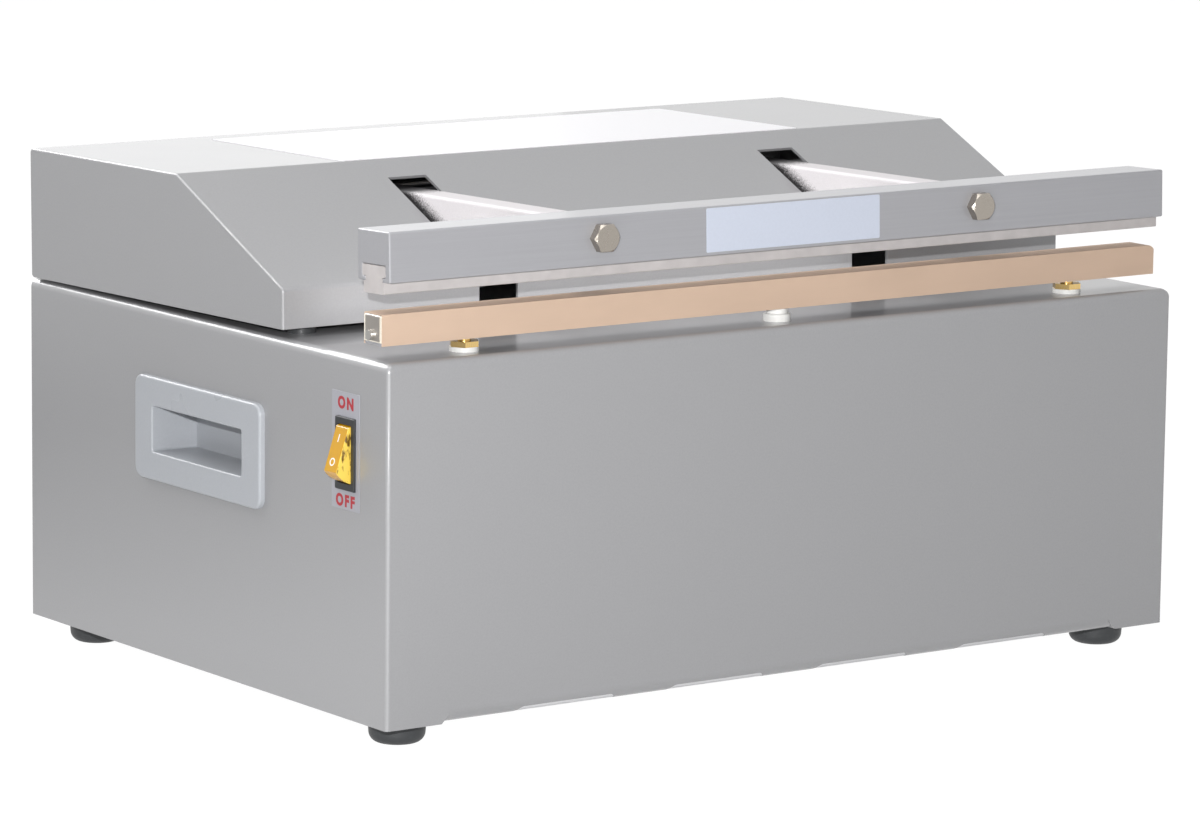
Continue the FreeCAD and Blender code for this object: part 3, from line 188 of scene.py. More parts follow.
def silver_enamel(name, tone):
    """Silver stove enamel on folded steel."""
    # Fine flake lies under a thin clear coat: even grey from far off, with crisp bright lines on the folds.
    # Real flakes are far smaller, and are drawn 0.8 mm across so that they show.
    material, tree, place = new_tree(name)
    flake = add_node(tree, "ShaderNodeTexNoise", {"Vector": place, "Scale": per_mm(0.8), "Detail": 1.0})
    tint = add_node(tree, "ShaderNodeMix", {
        0: (flake, "Fac"), COLOUR_A: dimmed(tone, 0.95), COLOUR_B: dimmed(tone, 1.05)}, data_type="RGBA")
    cloud = add_node(tree, "ShaderNodeTexNoise", {"Vector": place, "Scale": per_mm(60), "Detail": 3.0})
    shine = add_node(tree, "ShaderNodeMapRange", {"Value": (cloud, "Fac"), "To Min": 0.38, "To Max": 0.46})
    peel = add_node(tree, "ShaderNodeTexNoise", {"Vector": place, "Scale": per_mm(2.4), "Detail": 2.0})
    bump = add_node(tree, "ShaderNodeBump", {
        "Height": (peel, "Fac"), "Strength": 0.2, "Distance": 0.01 * MM})
    return closed(material, {
        "Base Color": (tint, MIXED), "Metallic": 0.2, "Roughness": (shine, "Result"),
        "Normal": (bump, "Normal"), "Coat Weight": 0.6, "Coat Roughness": 0.09, "Coat IOR": 1.5})


def extruded_aluminium(name, tone):
    """Aluminium pressed through a die."""
    # Fine lines run along the bar, with a satin shine that is streaked the same way.
    # Real lines are finer, and are drawn 0.9 mm wide so that they show.
    material, tree, place = new_tree(name)
    way = add_node(tree, "ShaderNodeMapping", {"Vector": place, "Scale": (0.012, 1.0, 1.0)})
    lines = add_node(tree, "ShaderNodeTexNoise", {
        "Vector": (way, "Vector"), "Scale": per_mm(0.9), "Detail": 4.0, "Roughness": 0.6})
    tint = add_node(tree, "ShaderNodeMix", {
        0: (lines, "Fac"), COLOUR_A: dimmed(tone, 0.9), COLOUR_B: dimmed(tone, 1.06)}, data_type="RGBA")
    shine = add_node(tree, "ShaderNodeMapRange", {"Value": (lines, "Fac"), "To Min": 0.42, "To Max": 0.58})
    bump = add_node(tree, "ShaderNodeBump", {
        "Height": (lines, "Fac"), "Strength": 0.2, "Distance": 0.02 * MM})
    return closed(material, {
        "Base Color": (tint, MIXED), "Metallic": 0.35, "Roughness": (shine, "Result"),
        "Normal": (bump, "Normal"), "Coat Weight": 0.6, "Coat Roughness": 0.12})


def hood_slant():
    """Middle and normal of the hood's slanted sheet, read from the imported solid."""
    steep = 0.3
    faces = [face for face in NODES["hood_shell"].data.polygons
             if face.normal.y < -steep and face.normal.z > steep]
    widest = max(faces, key=lambda face: face.area)
    return widest.center.copy(), widest.normal.copy()


def painted_shade_mask(tree, place):
    """Node whose result is 0 behind the hood's slant, where shade is painted, and 1 in front of it."""
    middle, normal = hood_slant()
    # Below the slant's surface the arms' sides get the full painted shade, which fades out with a ragged
    # edge by 4.5 mm in front of it.
    shade_ragging, bare, shade_gone_at = 2.5 * MM, -0.5 * MM, 4.5 * MM
    inwards = add_node(tree, "ShaderNodeVectorMath", {0: place, 1: tuple(middle)}, operation="SUBTRACT")
    depth = add_node(tree, "ShaderNodeVectorMath", {0: (inwards, "Vector"), 1: tuple(normal)},
                     operation="DOT_PRODUCT")
    # The painted shade's ragged edge is drawn in specks 0.6 mm across.
    shade_specks = add_node(tree, "ShaderNodeTexNoise", {"Vector": place, "Scale": per_mm(0.6), "Detail": 2.0})
    spread = add_node(tree, "ShaderNodeMapRange", {
        "Value": (shade_specks, "Fac"), "From Min": 0.25, "From Max": 0.75, "To Min": -shade_ragging, "To Max": shade_ragging})
    edge = add_node(tree, "ShaderNodeMath", {0: (depth, "Value"), 1: (spread, "Result")})
    return add_node(tree, "ShaderNodeMapRange", {
        "Value": (edge, "Value"), "From Min": bare, "From Max": shade_gone_at})


def grained_enamel(name, tone, painted_shade=None):
    """Light textured enamel, all over, or with a dark painted shade where the arms go into the hood."""
    # The dry coat breaks the light up into fine specks. Where the painted shade begins, the enamel gives way
    # in specks to the dark shade colour.
    material, tree, place = new_tree(name)
    speck = add_node(tree, "ShaderNodeTexNoise", {
        "Vector": place, "Scale": per_mm(0.7), "Detail": 3.0, "Roughness": 0.7})
    tint = add_node(tree, "ShaderNodeMix", {
        0: (speck, "Fac"), COLOUR_A: dimmed(tone, 0.86), COLOUR_B: dimmed(tone, 1.06)}, data_type="RGBA")
    if painted_shade:
        unshaded = painted_shade_mask(tree, place)
        tint = add_node(tree, "ShaderNodeMix", {
            0: (unshaded, "Result"), COLOUR_A: painted_shade, COLOUR_B: (tint, MIXED)}, data_type="RGBA")
    shine = add_node(tree, "ShaderNodeMapRange", {"Value": (speck, "Fac"), "To Min": 0.5, "To Max": 0.7})
    bump = add_node(tree, "ShaderNodeBump", {
        "Height": (speck, "Fac"), "Strength": 0.5, "Distance": 0.05 * MM})
    return closed(material, {
        "Base Color": (tint, MIXED), "Roughness": (shine, "Result"), "Normal": (bump, "Normal")})


def coated_cloth(name, tone):
    """Glass cloth with a slippery coat."""
    # A plain weave barely shows through a waxy sheen, with long faint stains along the strip.
    material, tree, place = new_tree(name)
    # The real threads lie 0.4 mm apart. They are drawn 0.9 mm apart so that they show.
    spacing = bands(0.9)
    warp = add_node(tree, "ShaderNodeTexWave", {"Vector": place, "Scale": spacing}, bands_direction="X")
    weft = add_node(tree, "ShaderNodeTexWave", {"Vector": place, "Scale": spacing}, bands_direction="Z")
    weave = add_node(tree, "ShaderNodeMath", {0: (warp, "Fac"), 1: (weft, "Fac")}, operation="ADD")
    long_way = add_node(tree, "ShaderNodeMapping", {"Vector": place, "Scale": (0.25, 1.0, 1.0)})
    stain = add_node(tree, "ShaderNodeTexNoise", {
        "Vector": (long_way, "Vector"), "Scale": per_mm(12), "Detail": 3.0})
    tint = add_node(tree, "ShaderNodeMix", {
        0: (stain, "Fac"), COLOUR_A: dimmed(tone, 0.9), COLOUR_B: dimmed(tone, 1.06)}, data_type="RGBA")
    shine = add_node(tree, "ShaderNodeMapRange", {"Value": (stain, "Fac"), "To Min": 0.5, "To Max": 0.62})
    bump = add_node(tree, "ShaderNodeBump", {
        "Height": (weave, "Value"), "Strength": 0.16, "Distance": 0.03 * MM})
    return closed(material, {
        "Base Color": (tint, MIXED), "Roughness": (shine, "Result"), "Normal": (bump, "Normal"),
        "Specular IOR Level": 0.3})


def moulded_plastic(name, tone, roughness, fixed=None):
    """Injection-moulded plastic."""
    # Spark-eroded tooling leaves a fine grain, and the melt's flow leaves a slight unevenness of shine.
    # Real grain is finer, and is drawn 0.8 mm across so that it shows.
    material, tree, place = new_tree(name)
    spark = add_node(tree, "ShaderNodeTexNoise", {"Vector": place, "Scale": per_mm(0.8), "Detail": 2.0})
    tint = add_node(tree, "ShaderNodeMix", {
        0: (spark, "Fac"), COLOUR_A: dimmed(tone, 0.94), COLOUR_B: dimmed(tone, 1.05)}, data_type="RGBA")
    flow = add_node(tree, "ShaderNodeTexNoise", {"Vector": place, "Scale": per_mm(25), "Detail": 2.0})
    shine = add_node(tree, "ShaderNodeMapRange", {
        "Value": (flow, "Fac"), "To Min": roughness - 0.02, "To Max": roughness + 0.02})
    bump = add_node(tree, "ShaderNodeBump", {
        "Height": (spark, "Fac"), "Strength": 0.3, "Distance": 0.015 * MM})
    inputs = {"Base Color": (tint, MIXED), "Roughness": (shine, "Result"), "Normal": (bump, "Normal")}
    inputs.update(fixed or {})
    return closed(material, inputs)


def moulded_rubber(name, tone, roughness):
    """Moulded rubber."""
    # A dull bloom comes and goes over a slightly pebbled skin.
    material, tree, place = new_tree(name)
    bloom = add_node(tree, "ShaderNodeTexNoise", {"Vector": place, "Scale": per_mm(7), "Detail": 4.0})
    tint = add_node(tree, "ShaderNodeMix", {
        0: (bloom, "Fac"), COLOUR_A: dimmed(tone, 0.85), COLOUR_B: dimmed(tone, 1.2)}, data_type="RGBA")
    shine = add_node(tree, "ShaderNodeMapRange", {
        "Value": (bloom, "Fac"), "To Min": roughness - 0.1, "To Max": roughness + 0.1})
    pebble = add_node(tree, "ShaderNodeTexNoise", {"Vector": place, "Scale": per_mm(0.9), "Detail": 2.0})
    bump = add_node(tree, "ShaderNodeBump", {
        "Height": (pebble, "Fac"), "Strength": 0.3, "Distance": 0.03 * MM})
    return closed(material, {
        "Base Color": (tint, MIXED), "Roughness": (shine, "Result"), "Normal": (bump, "Normal")})


def worked_metal(name, tone, roughness, marks_mm=0.5, along=(1.0, 1.0, 1.0), depth_mm=0.01):
    """Bare or plated metal."""
    # Tool marks are drawn out the way the metal was worked, and handling leaves duller patches.
    # Most real marks are finer, and are drawn this wide so that they show.
    material, tree, place = new_tree(name)
    way = add_node(tree, "ShaderNodeMapping", {"Vector": place, "Scale": along})
    marks = add_node(tree, "ShaderNodeTexNoise", {
        "Vector": (way, "Vector"), "Scale": per_mm(marks_mm), "Detail": 3.0})
    tint = add_node(tree, "ShaderNodeMix", {
        0: (marks, "Fac"), COLOUR_A: dimmed(tone, 0.88), COLOUR_B: dimmed(tone, 1.08)}, data_type="RGBA")
    wear = add_node(tree, "ShaderNodeTexNoise", {"Vector": place, "Scale": per_mm(9), "Detail": 3.0})
    shine = add_node(tree, "ShaderNodeMapRange", {
        "Value": (wear, "Fac"), "To Min": roughness - 0.06, "To Max": roughness + 0.1})
    bump = add_node(tree, "ShaderNodeBump", {
        "Height": (marks, "Fac"), "Strength": 0.3, "Distance": depth_mm * MM})
    return closed(material, {
        "Base Color": (tint, MIXED), "Metallic": 1.0, "Roughness": (shine, "Result"),
        "Normal": (bump, "Normal")})


def amber_plastic_painted_glow(name, tone):
    """Clear amber polycarbonate, with painted glow and painted reflections."""
    # The face is an even deep amber. The sides are painted with blotches of pale painted glow and dark
    # painted reflection, and the whole rocker has a faint painted glow.
    material, tree, place = new_tree(name)
    level = add_node(tree, "ShaderNodeMapping", {"Vector": place, "Scale": (1.0, 1.0, 0.4)})
    painted_blotches = add_node(tree, "ShaderNodeTexNoise", {
        "Vector": (level, "Vector"), "Scale": per_mm(1.8), "Detail": 3.0})
    sharp = add_node(tree, "ShaderNodeMapRange", {"Value": (painted_blotches, "Fac"), "From Min": 0.4, "From Max": 0.5})
    # This mix holds the sides' pale painted glow and dark painted reflections.
    inside = add_node(tree, "ShaderNodeMix", {
        0: (sharp, "Result"), COLOUR_A: linear("#5C4514"), COLOUR_B: linear("#FFDF62")}, data_type="RGBA")
    # The faces that look along Y are the sides.
    surface = add_node(tree, "ShaderNodeTexCoord")
    across = add_node(tree, "ShaderNodeSeparateXYZ", {"Vector": (surface, "Normal")})
    turned = add_node(tree, "ShaderNodeMath", {0: (across, "Y")}, operation="ABSOLUTE")
    side = add_node(tree, "ShaderNodeMapRange", {
        "Value": (turned, "Value"), "From Min": 0.6, "From Max": 0.8})
    tint = add_node(tree, "ShaderNodeMix", {0: (side, "Result"), COLOUR_A: tone, COLOUR_B: (inside, MIXED)},
                    data_type="RGBA")
    # The emission is a faint painted glow.
    return closed(material, {
        "Base Color": (tint, MIXED), "Roughness": 0.06, "Transmission Weight": 0.3, "IOR": 1.5,
        "Emission Color": linear("#FFB000"), "Emission Strength": 0.05})


def printed_film(name, tone, roughness):
    """Printed plastic film."""
    # The ink is even, faintly pearled, under a satin lacquer.
    # Real pearl is finer, and is drawn 1.2 mm across so that it shows.
    material, tree, place = new_tree(name)
    pearl = add_node(tree, "ShaderNodeTexNoise", {"Vector": place, "Scale": per_mm(1.2), "Detail": 2.0})
    tint = add_node(tree, "ShaderNodeMix", {
        0: (pearl, "Fac"), COLOUR_A: dimmed(tone, 0.96), COLOUR_B: dimmed(tone, 1.03)}, data_type="RGBA")
    shine = add_node(tree, "ShaderNodeMapRange", {
        "Value": (pearl, "Fac"), "To Min": roughness - 0.06, "To Max": roughness + 0.06})
    return closed(material, {"Base Color": (tint, MIXED), "Roughness": (shine, "Result")})


def circuit_laminate(name, tone):
    """Glass laminate under green solder resist."""
    # Copper tracks show through the resist as paler straight runs.
    material, tree, place = new_tree(name)
    tracks = add_node(tree, "ShaderNodeTexBrick", {
        "Vector": place, "Scale": per_mm(12), "Mortar Size": 0.04, "Color1": tone,
        "Color2": dimmed(tone, 0.85), "Mortar": dimmed(tone, 1.7)}, offset=0.35)
    return closed(material, {"Base Color": (tracks, "Color"), "Roughness": 0.35})


def stacked_laminations(name, tone):
    """Varnished iron laminations."""
    # Thin dark sheets are stacked front to back.
    # Real ones are 0.5 mm thick and are drawn at 1.4 mm so that they show.
    material, tree, place = new_tree(name)
    sheets = add_node(tree, "ShaderNodeTexWave", {"Vector": place, "Scale": bands(1.4)},
                      bands_direction="Y")
    tint = add_node(tree, "ShaderNodeMix", {
        0: (sheets, "Fac"), COLOUR_A: dimmed(tone, 0.6), COLOUR_B: dimmed(tone, 1.3)}, data_type="RGBA")
    bump = add_node(tree, "ShaderNodeBump", {
        "Height": (sheets, "Fac"), "Strength": 0.5, "Distance": 0.1 * MM})
    return closed(material, {
        "Base Color": (tint, MIXED), "Metallic": 0.7, "Roughness": 0.5, "Normal": (bump, "Normal")})


def taped_winding(name, tone):
    """Coil wrapped in polyester tape."""
    # Overlapping turns of the tape make low steps with a waxy shine.
    material, tree, place = new_tree(name)
    turns = add_node(tree, "ShaderNodeTexWave", {"Vector": place, "Scale": bands(6), "Distortion": 0.6},
                     bands_direction="Z")
    tint = add_node(tree, "ShaderNodeMix", {
        0: (turns, "Fac"), COLOUR_A: dimmed(tone, 0.72), COLOUR_B: dimmed(tone, 1.1)}, data_type="RGBA")
    bump = add_node(tree, "ShaderNodeBump", {
        "Height": (turns, "Fac"), "Strength": 0.4, "Distance": 0.1 * MM})
    return closed(material, {
        "Base Color": (tint, MIXED), "Roughness": 0.32, "Normal": (bump, "Normal"), "Coat Weight": 0.3})


# Modelling steps
def fresh_piece(name, operator, **settings):
    """Adds a primitive with nothing else selected, and names it."""
    bpy.ops.object.select_all(action="DESELECT")
    operator(**settings)
    piece = bpy.context.object
    piece.name = name
    piece.data.name = name
    return piece


def choose(piece):
    """Makes one piece the only chosen one."""
    bpy.ops.object.select_all(action="DESELECT")
    piece.select_set(True)
    bpy.context.view_layer.objects.active = piece


def settle(piece):
    """Puts a piece's place, turn and size into its mesh."""
    choose(piece)
    bpy.ops.object.transform_apply(location=True, rotation=True, scale=True)


def place_piece(piece, matrix):
    """Moves a piece drawn at the origin to its place, for good."""
    piece.matrix_world = matrix
    bpy.context.view_layer.update()
    settle(piece)
    return piece


def finish_with(piece, kind, **settings):
    """Adds a modifier and applies it."""
    choose(piece)
    modifier = piece.modifiers.new(kind.lower(), kind)
    for key, value in settings.items():
        setattr(modifier, key, value)
    bpy.ops.object.modifier_apply(modifier=modifier.name)


def facing(origin, across, up):
    """Place whose X runs across, whose Y runs up and whose Z stands off the surface."""
    across, up = Vector(across).normalized(), Vector(up).normalized()
    turn = Matrix((across, up, across.cross(up))).transposed().to_4x4()
    return Matrix.Translation(Vector(origin)) @ turn


def dress(piece, material):
    """Gives a new piece one material."""
    piece.data.materials.clear()
    piece.data.materials.append(material)
    return piece


def joined(name, pieces):
    """Joins pieces into the first one."""
    bpy.ops.object.select_all(action="DESELECT")
    for piece in pieces:
        piece.select_set(True)
    bpy.context.view_layer.objects.active = pieces[0]
    if len(pieces) > 1:
        bpy.ops.object.join()
    pieces[0].name = name
    return pieces[0]


def attach(piece, body):
    """Lets a piece move with a body."""
    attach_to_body(piece, body)


def flat_plate(name, width, height, thickness, corner=0.0, window=None):
    """Thin plate at the origin, with rounded corners or a window (across, up, width, height)."""
    piece = fresh_piece(name, bpy.ops.mesh.primitive_plane_add, size=1.0)
    piece.scale = (width, height, 1)
    settle(piece)
    bpy.ops.object.mode_set(mode="EDIT")
    bpy.ops.mesh.select_all(action="SELECT")
    if window:
        rim = 1 * MM
        across, up, open_width, open_height = window
        bpy.ops.mesh.inset(thickness=rim)
        bpy.ops.transform.resize(value=(open_width / (width - 2 * rim), open_height / (height - 2 * rim), 1))
        bpy.ops.transform.translate(value=(across, up, 0))
        bpy.ops.mesh.delete(type="FACE")
    else:
        bpy.ops.mesh.bevel(offset=corner, segments=5, affect="VERTICES")
    bpy.ops.object.mode_set(mode="OBJECT")
    finish_with(piece, "SOLIDIFY", thickness=thickness, offset=1.0)
    finish_with(piece, "BEVEL", width=thickness / 3, segments=2, limit_method="ANGLE")
    return piece


def word(text, height, boldness):
    """Word in raised ink at the origin, centred, as a mesh."""
    capital_share, letter_spacing = 0.73, 1.34
    piece = fresh_piece("word_" + text, bpy.ops.object.text_add)
    piece.data.body = text
    piece.data.size = height / capital_share
    piece.data.extrude = INK_THICKNESS / 2
    piece.data.offset = boldness
    piece.data.space_character = letter_spacing
    bpy.ops.object.convert(target="MESH")
    piece = bpy.context.object
    bpy.ops.object.origin_set(type="ORIGIN_GEOMETRY", center="BOUNDS")
    piece.location = (0, 0, 0)
    finish_with(piece, "WELD", merge_threshold=MERGE_DISTANCE)
    return piece


def pan_screw(name, head):
    """Pan-head screw with a cross recess, at the origin, standing along Z."""
    rise = head * 0.36
    rounding = rise * 0.45
    recess_length, recess_width, recess_height = head * 0.56, head * 0.13, rise * 0.8
    piece = fresh_piece(name, bpy.ops.mesh.primitive_cylinder_add, vertices=32, radius=head / 2, depth=rise,
                        location=(0, 0, rise / 2))
    settle(piece)
    for edge in piece.data.edges:
        edge.select = all(piece.data.vertices[index].co.z > rise / 2 for index in edge.vertices)
    for face in piece.data.polygons:
        face.select = face.normal.z > 0.5
    bpy.ops.object.mode_set(mode="EDIT")
    bpy.ops.mesh.bevel(offset=rounding, segments=4)
    bpy.ops.object.mode_set(mode="OBJECT")
    for across, up in ((recess_length, recess_width), (recess_width, recess_length)):
        cutter = fresh_piece("recess", bpy.ops.mesh.primitive_cube_add, size=1.0, location=(0, 0, rise))
        cutter.scale = (across, up, recess_height)
        settle(cutter)
        finish_with(piece, "BOOLEAN", operation="DIFFERENCE", object=cutter, solver="EXACT")
        bpy.data.objects.remove(cutter)
    return piece


def smooth(piece, degrees=35):
    """Shades a piece smooth, apart from edges sharper than an angle."""
    choose(piece)
    bpy.ops.object.shade_smooth_by_angle(angle=math.radians(degrees))


def copies_at(name, model, places):
    """Copies of one model at several places, each with its own mesh, joined into one piece."""
    copies = []
    for place in places:
        copy = model.copy()
        copy.data = model.data.copy()
        bpy.context.collection.objects.link(copy)
        copies.append(place_piece(copy, place))
    bpy.data.objects.remove(model)
    piece = joined(name, copies)
    smooth(piece)
    return piece


def coil_run(name, wire, radius, start, pitch, turns):
    """Stretch of spring wire wound about Z from a given height."""
    steps = 40
    piece = fresh_piece(name, bpy.ops.mesh.primitive_circle_add, vertices=14, radius=wire / 2,
                        location=(radius, 0, start), rotation=(math.pi / 2, 0, 0))
    settle(piece)
    finish_with(piece, "SCREW", axis="Z", screw_offset=pitch, iterations=turns, steps=steps,
                render_steps=steps)
    return piece


def finish_nodes(material, *names):
    """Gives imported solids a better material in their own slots."""
    for name in names:
        for slot in NODES[name].material_slots:
            slot.material = material


class SEALER_OT_cabinet_finish(bpy.types.Operator):
    """Finishes of the cabinet, hood, handles and feet"""
    bl_idname = "sealer.cabinet_finish"
    bl_label = "Cabinet finishes"

    def execute(self, context):
        colours = context.scene.sealer_colours
        finish_nodes(silver_enamel("silver_enamel", tuple(colours.enamel)),
                     "base_shell", "hood_shell", "rear_panel")
        finish_nodes(worked_metal("zinc_plate", linear("#B4B8BC"), 0.38, 1.6),
                     "bottom_tray", "hinge_base_leaves", "hinge_hood_leaves", "solenoid_frame")
        finish_nodes(moulded_rubber("black_rubber", linear("#343638"), 0.5),
                     "foot_front_left", "foot_front_right", "foot_rear_left", "foot_rear_right",
                     "hood_bumpers")
        finish_nodes(moulded_plastic("grey_abs", tuple(colours.handle), 0.28),
                     "handle_left", "handle_right")
        finish_nodes(worked_metal("bright_zinc_screws", linear("#C8C6C2"), 0.28, 0.6),
                     "foot_screws", "hinge_pins", "ribbon_clamp_screws")
        return {"FINISHED"}


class SEALER_OT_jaw_finish(bpy.types.Operator):
    """Finishes of both jaws and of what carries them"""
    bl_idname = "sealer.jaw_finish"
    bl_label = "Jaw finishes"

    def execute(self, context):
        colours = context.scene.sealer_colours
        finish_nodes(extruded_aluminium("extruded_aluminium", tuple(colours.aluminium)),
                     "upper_bar", "lower_bar", "tie_bar", "bearing_block_left", "bearing_block_right")
        # The dark colour on the arms where they go into the hood's slots is painted shade.
        finish_nodes(grained_enamel("arm_enamel_painted_shade", tuple(colours.arm), linear("#2C2A2C")),
                     "arm_left", "arm_right")
        finish_nodes(moulded_rubber("silicone_rubber", tuple(colours.silicone), 0.45), "pressure_pad")
        finish_nodes(coated_cloth("coated_glass_cloth", tuple(colours.tape)), "release_tape")
        finish_nodes(coated_cloth("bare_glass_cloth", linear("#E6E0D2")), "insulating_strip")
        finish_nodes(worked_metal("rolled_nichrome", linear("#B4AEA8"), 0.35, 0.5, (0.02, 1.0, 1.0)),
                     "heating_ribbon")
        finish_nodes(worked_metal("turned_brass", linear("#E0C080"), 0.2, 0.4, (1.0, 1.0, 0.1)),
                     "terminal_studs", "terminal_nuts", "lead_lugs", "switch_terminals", "inlet_pins")
        milky = {"Subsurface Weight": 0.2, "Subsurface Radius": (0.002, 0.002, 0.002)}
        finish_nodes(moulded_plastic("white_nylon", linear("#EAE9E6"), 0.4, milky),
                     "insulating_washers", "centre_support", "board_standoffs")
        finish_nodes(worked_metal("bright_steel", linear("#A8A198"), 0.24), "jaw_bolts")
        for name in ("upper_bar", "lower_bar"):
            self.break_edges(NODES[name])
        return {"FINISHED"}

    def break_edges(self, piece):
        """Saw-cut edges are eased, so that they catch the light."""
        weld = piece.modifiers.new("weld", "WELD")
        weld.merge_threshold = MERGE_DISTANCE
        flats = piece.modifiers.new("flats", "DECIMATE")
        flats.decimate_type = "DISSOLVE"
        flats.angle_limit = math.radians(1)
        bevel = piece.modifiers.new("eased_edges", "BEVEL")
        bevel.width = 0.7 * MM
        bevel.segments = 3
        bevel.use_clamp_overlap = False
        bevel.limit_method = "ANGLE"
        bevel.angle_limit = math.radians(50)


class SEALER_OT_inside_finish(bpy.types.Operator):
    """Finishes of the mechanism, the electrical pieces and the rear fittings"""
    bl_idname = "sealer.inside_finish"
    bl_label = "Inside finishes"

    def execute(self, context):
        finish_nodes(worked_metal("black_oxide_steel", linear("#3A3A3C"), 0.4),
                     "tie_bar_screws", "block_bolts", "shaft_collars")
        finish_nodes(worked_metal("ground_steel", linear("#C2C3C6"), 0.2, 0.4),
                     "pivot_shaft", "link_pin", "pull_rod", "plunger", "stop_bolts")
        finish_nodes(worked_metal("drawn_spring_steel", linear("#8E9196"), 0.3),
                     "return_spring_left", "return_spring_right")
        finish_nodes(worked_metal("sintered_bronze", linear("#A67C45"), 0.45, 0.6, depth_mm=0.04),
                     "bearing_bushes")
        finish_nodes(taped_winding("taped_winding", linear("#D2A52C")),
                     "solenoid_coil", "transformer_winding")
        finish_nodes(stacked_laminations("varnished_laminations", linear("#55504B")), "transformer_core")
        finish_nodes(circuit_laminate("circuit_laminate", linear("#1F5C38")), "control_board")
        finish_nodes(moulded_plastic("black_polyester", linear("#1C1C1E"), 0.35),
                     "board_components", "mains_inlet", "fuse_holder", "foot_switch_jack")
        finish_nodes(moulded_rubber("silicone_sleeve", linear("#A8342A"), 0.5), "heater_leads")
        return {"FINISHED"}


class SEALER_OT_vent_tabs(bpy.types.Operator):
    """Turned-up tabs of the tray that fill the vent slots in the lower front fold, with the light they catch
    painted in as near-white enamel
    """
    bl_idname = "sealer.vent_tabs"
    bl_label = "Vent tabs"

    def execute(self, context):
        sizes = context.scene.sealer_sizes
        axis = Vector((0, CABINET_LOW.y + sizes.fold_radius, CABINET_LOW.z + sizes.fold_radius))
        places = [Matrix.Translation(axis + Vector((step * sizes.vent_pitch, 0, 0)))
                  for step in (-1.5, -0.5, 0.5, 1.5)]
        piece = copies_at("vent_tabs", self.curved_strip(sizes), places)
        # The tabs' near-white enamel is painted light: it stands in for the light that their faces catch.
        attach(dress(piece, grained_enamel("pale_enamel_painted_light", linear("#EDEDEF"))), "cabinet")
        return {"FINISHED"}

    def curved_strip(self, sizes):
        """Flat strip under the fold's axis, spun forward and up along the fold, with rounded ends."""
        radius = sizes.fold_radius - sizes.tab_inset
        flat, end_radius, cut_height = 3.4 * MM, 3.7 * MM, 12 * MM
        sweep = math.radians(54)
        piece = fresh_piece("vent_tab", bpy.ops.mesh.primitive_plane_add, size=1.0,
                            location=(0, flat / 2, -radius))
        piece.scale = (sizes.vent_length, flat, 1)
        settle(piece)
        for vertex in piece.data.vertices:
            vertex.select = vertex.co.y < flat / 2
        for edge in piece.data.edges:
            edge.select = all(piece.data.vertices[index].select for index in edge.vertices)
        for face in piece.data.polygons:
            face.select = False
        bpy.ops.object.mode_set(mode="EDIT")
        bpy.ops.mesh.spin(steps=14, angle=sweep, center=(0, 0, 0), axis=(1, 0, 0))
        bpy.ops.mesh.select_all(action="SELECT")
        bpy.ops.mesh.remove_doubles(threshold=MERGE_DISTANCE)
        bpy.ops.mesh.normals_make_consistent(inside=False)
        bpy.ops.object.mode_set(mode="OBJECT")
        inward = 1.0 if piece.data.polygons[0].normal.z > 0 else -1.0
        finish_with(piece, "SOLIDIFY", thickness=sizes.tab_thickness, offset=inward)
        outline = flat_plate("tab_outline", sizes.vent_length, sizes.vent_depth, cut_height, end_radius)
        place_piece(outline, Matrix.Translation(Vector((0, flat - sizes.vent_depth / 2, -cut_height))))
        finish_with(piece, "BOOLEAN", operation="INTERSECT", object=outline, solver="EXACT")
        bpy.data.objects.remove(outline)
        return piece


class SEALER_OT_switch(bpy.types.Operator):
    """Rocker switch's finishes, the marks on it and the worded plate round it"""
    bl_idname = "sealer.switch"
    bl_label = "Switch and its plate"

    def execute(self, context):
        sizes, colours = context.scene.sealer_sizes, context.scene.sealer_colours
        finish_nodes(moulded_plastic("black_nylon", linear("#2A2B2D"), 0.3), "switch_housing")
        finish_nodes(amber_plastic_painted_glow("amber_polycarbonate_painted_glow", tuple(colours.rocker)), "switch_rocker")
        self.plate(sizes, colours)
        self.marks(sizes)
        return {"FINISHED"}

    def plate(self, sizes, colours):
        """Plate with a window for the housing, and a word above and below it."""
        low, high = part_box("switch_housing")
        middle = (low + high) / 2
        offset = Vector((0, 0.3, 1.1)) * MM
        play, boldness = 0.2 * MM, 0.32 * MM
        place = facing(Vector((CABINET_LOW.x, middle.y, middle.z)) + offset, (0, -1, 0), (0, 0, 1))
        window = (offset.y, -offset.z, high.y - low.y + play, high.z - low.z + play)
        plate = flat_plate("switch_plate", sizes.switch_plate_width, sizes.switch_plate_height,
                           sizes.plate_thickness, window=window)
        film = printed_film("pearl_grey_film", tuple(colours.plate), 0.3)
        pieces = [place_piece(dress(plate, film), place)]
        ink = printed_film("red_ink", tuple(colours.letters), 0.4)
        for text, up in (("ON", 19.3 * MM), ("OFF", -20.1 * MM)):
            letters = dress(word(text, sizes.letter_height, boldness), ink)
            stand = Matrix.Translation(Vector((0, up, sizes.plate_thickness)))
            pieces.append(place_piece(letters, place @ stand))
        attach(joined("switch_plate", pieces), "cabinet")

    def marks(self, sizes):
        """Marks on the rocker's flat face, which leans by half of the rocker's travel."""
        rocker = joint("rocker_tilt")
        tilt = math.radians(rocker["range_deg"][1] - rocker["range_deg"][0]) / 2
        off = Vector((-math.cos(tilt), 0, math.sin(tilt)))
        up = Vector((math.sin(tilt), 0, math.cos(tilt)))
        face_reach, boldness = 7.6 * MM, 0.04 * MM
        face = Vector(rocker["pos_m"]) + off * face_reach
        ink = printed_film("white_ink", linear("#F4F1E8"), 0.4)
        pieces = []
        for text, rise in (("I", 4.6 * MM), ("O", -5.2 * MM)):
            mark = dress(word(text, sizes.mark_height, boldness), ink)
            pieces.append(place_piece(mark, facing(face + up * rise, (0, -1, 0), up)))
        attach(joined("rocker_marks", pieces), "rocker")


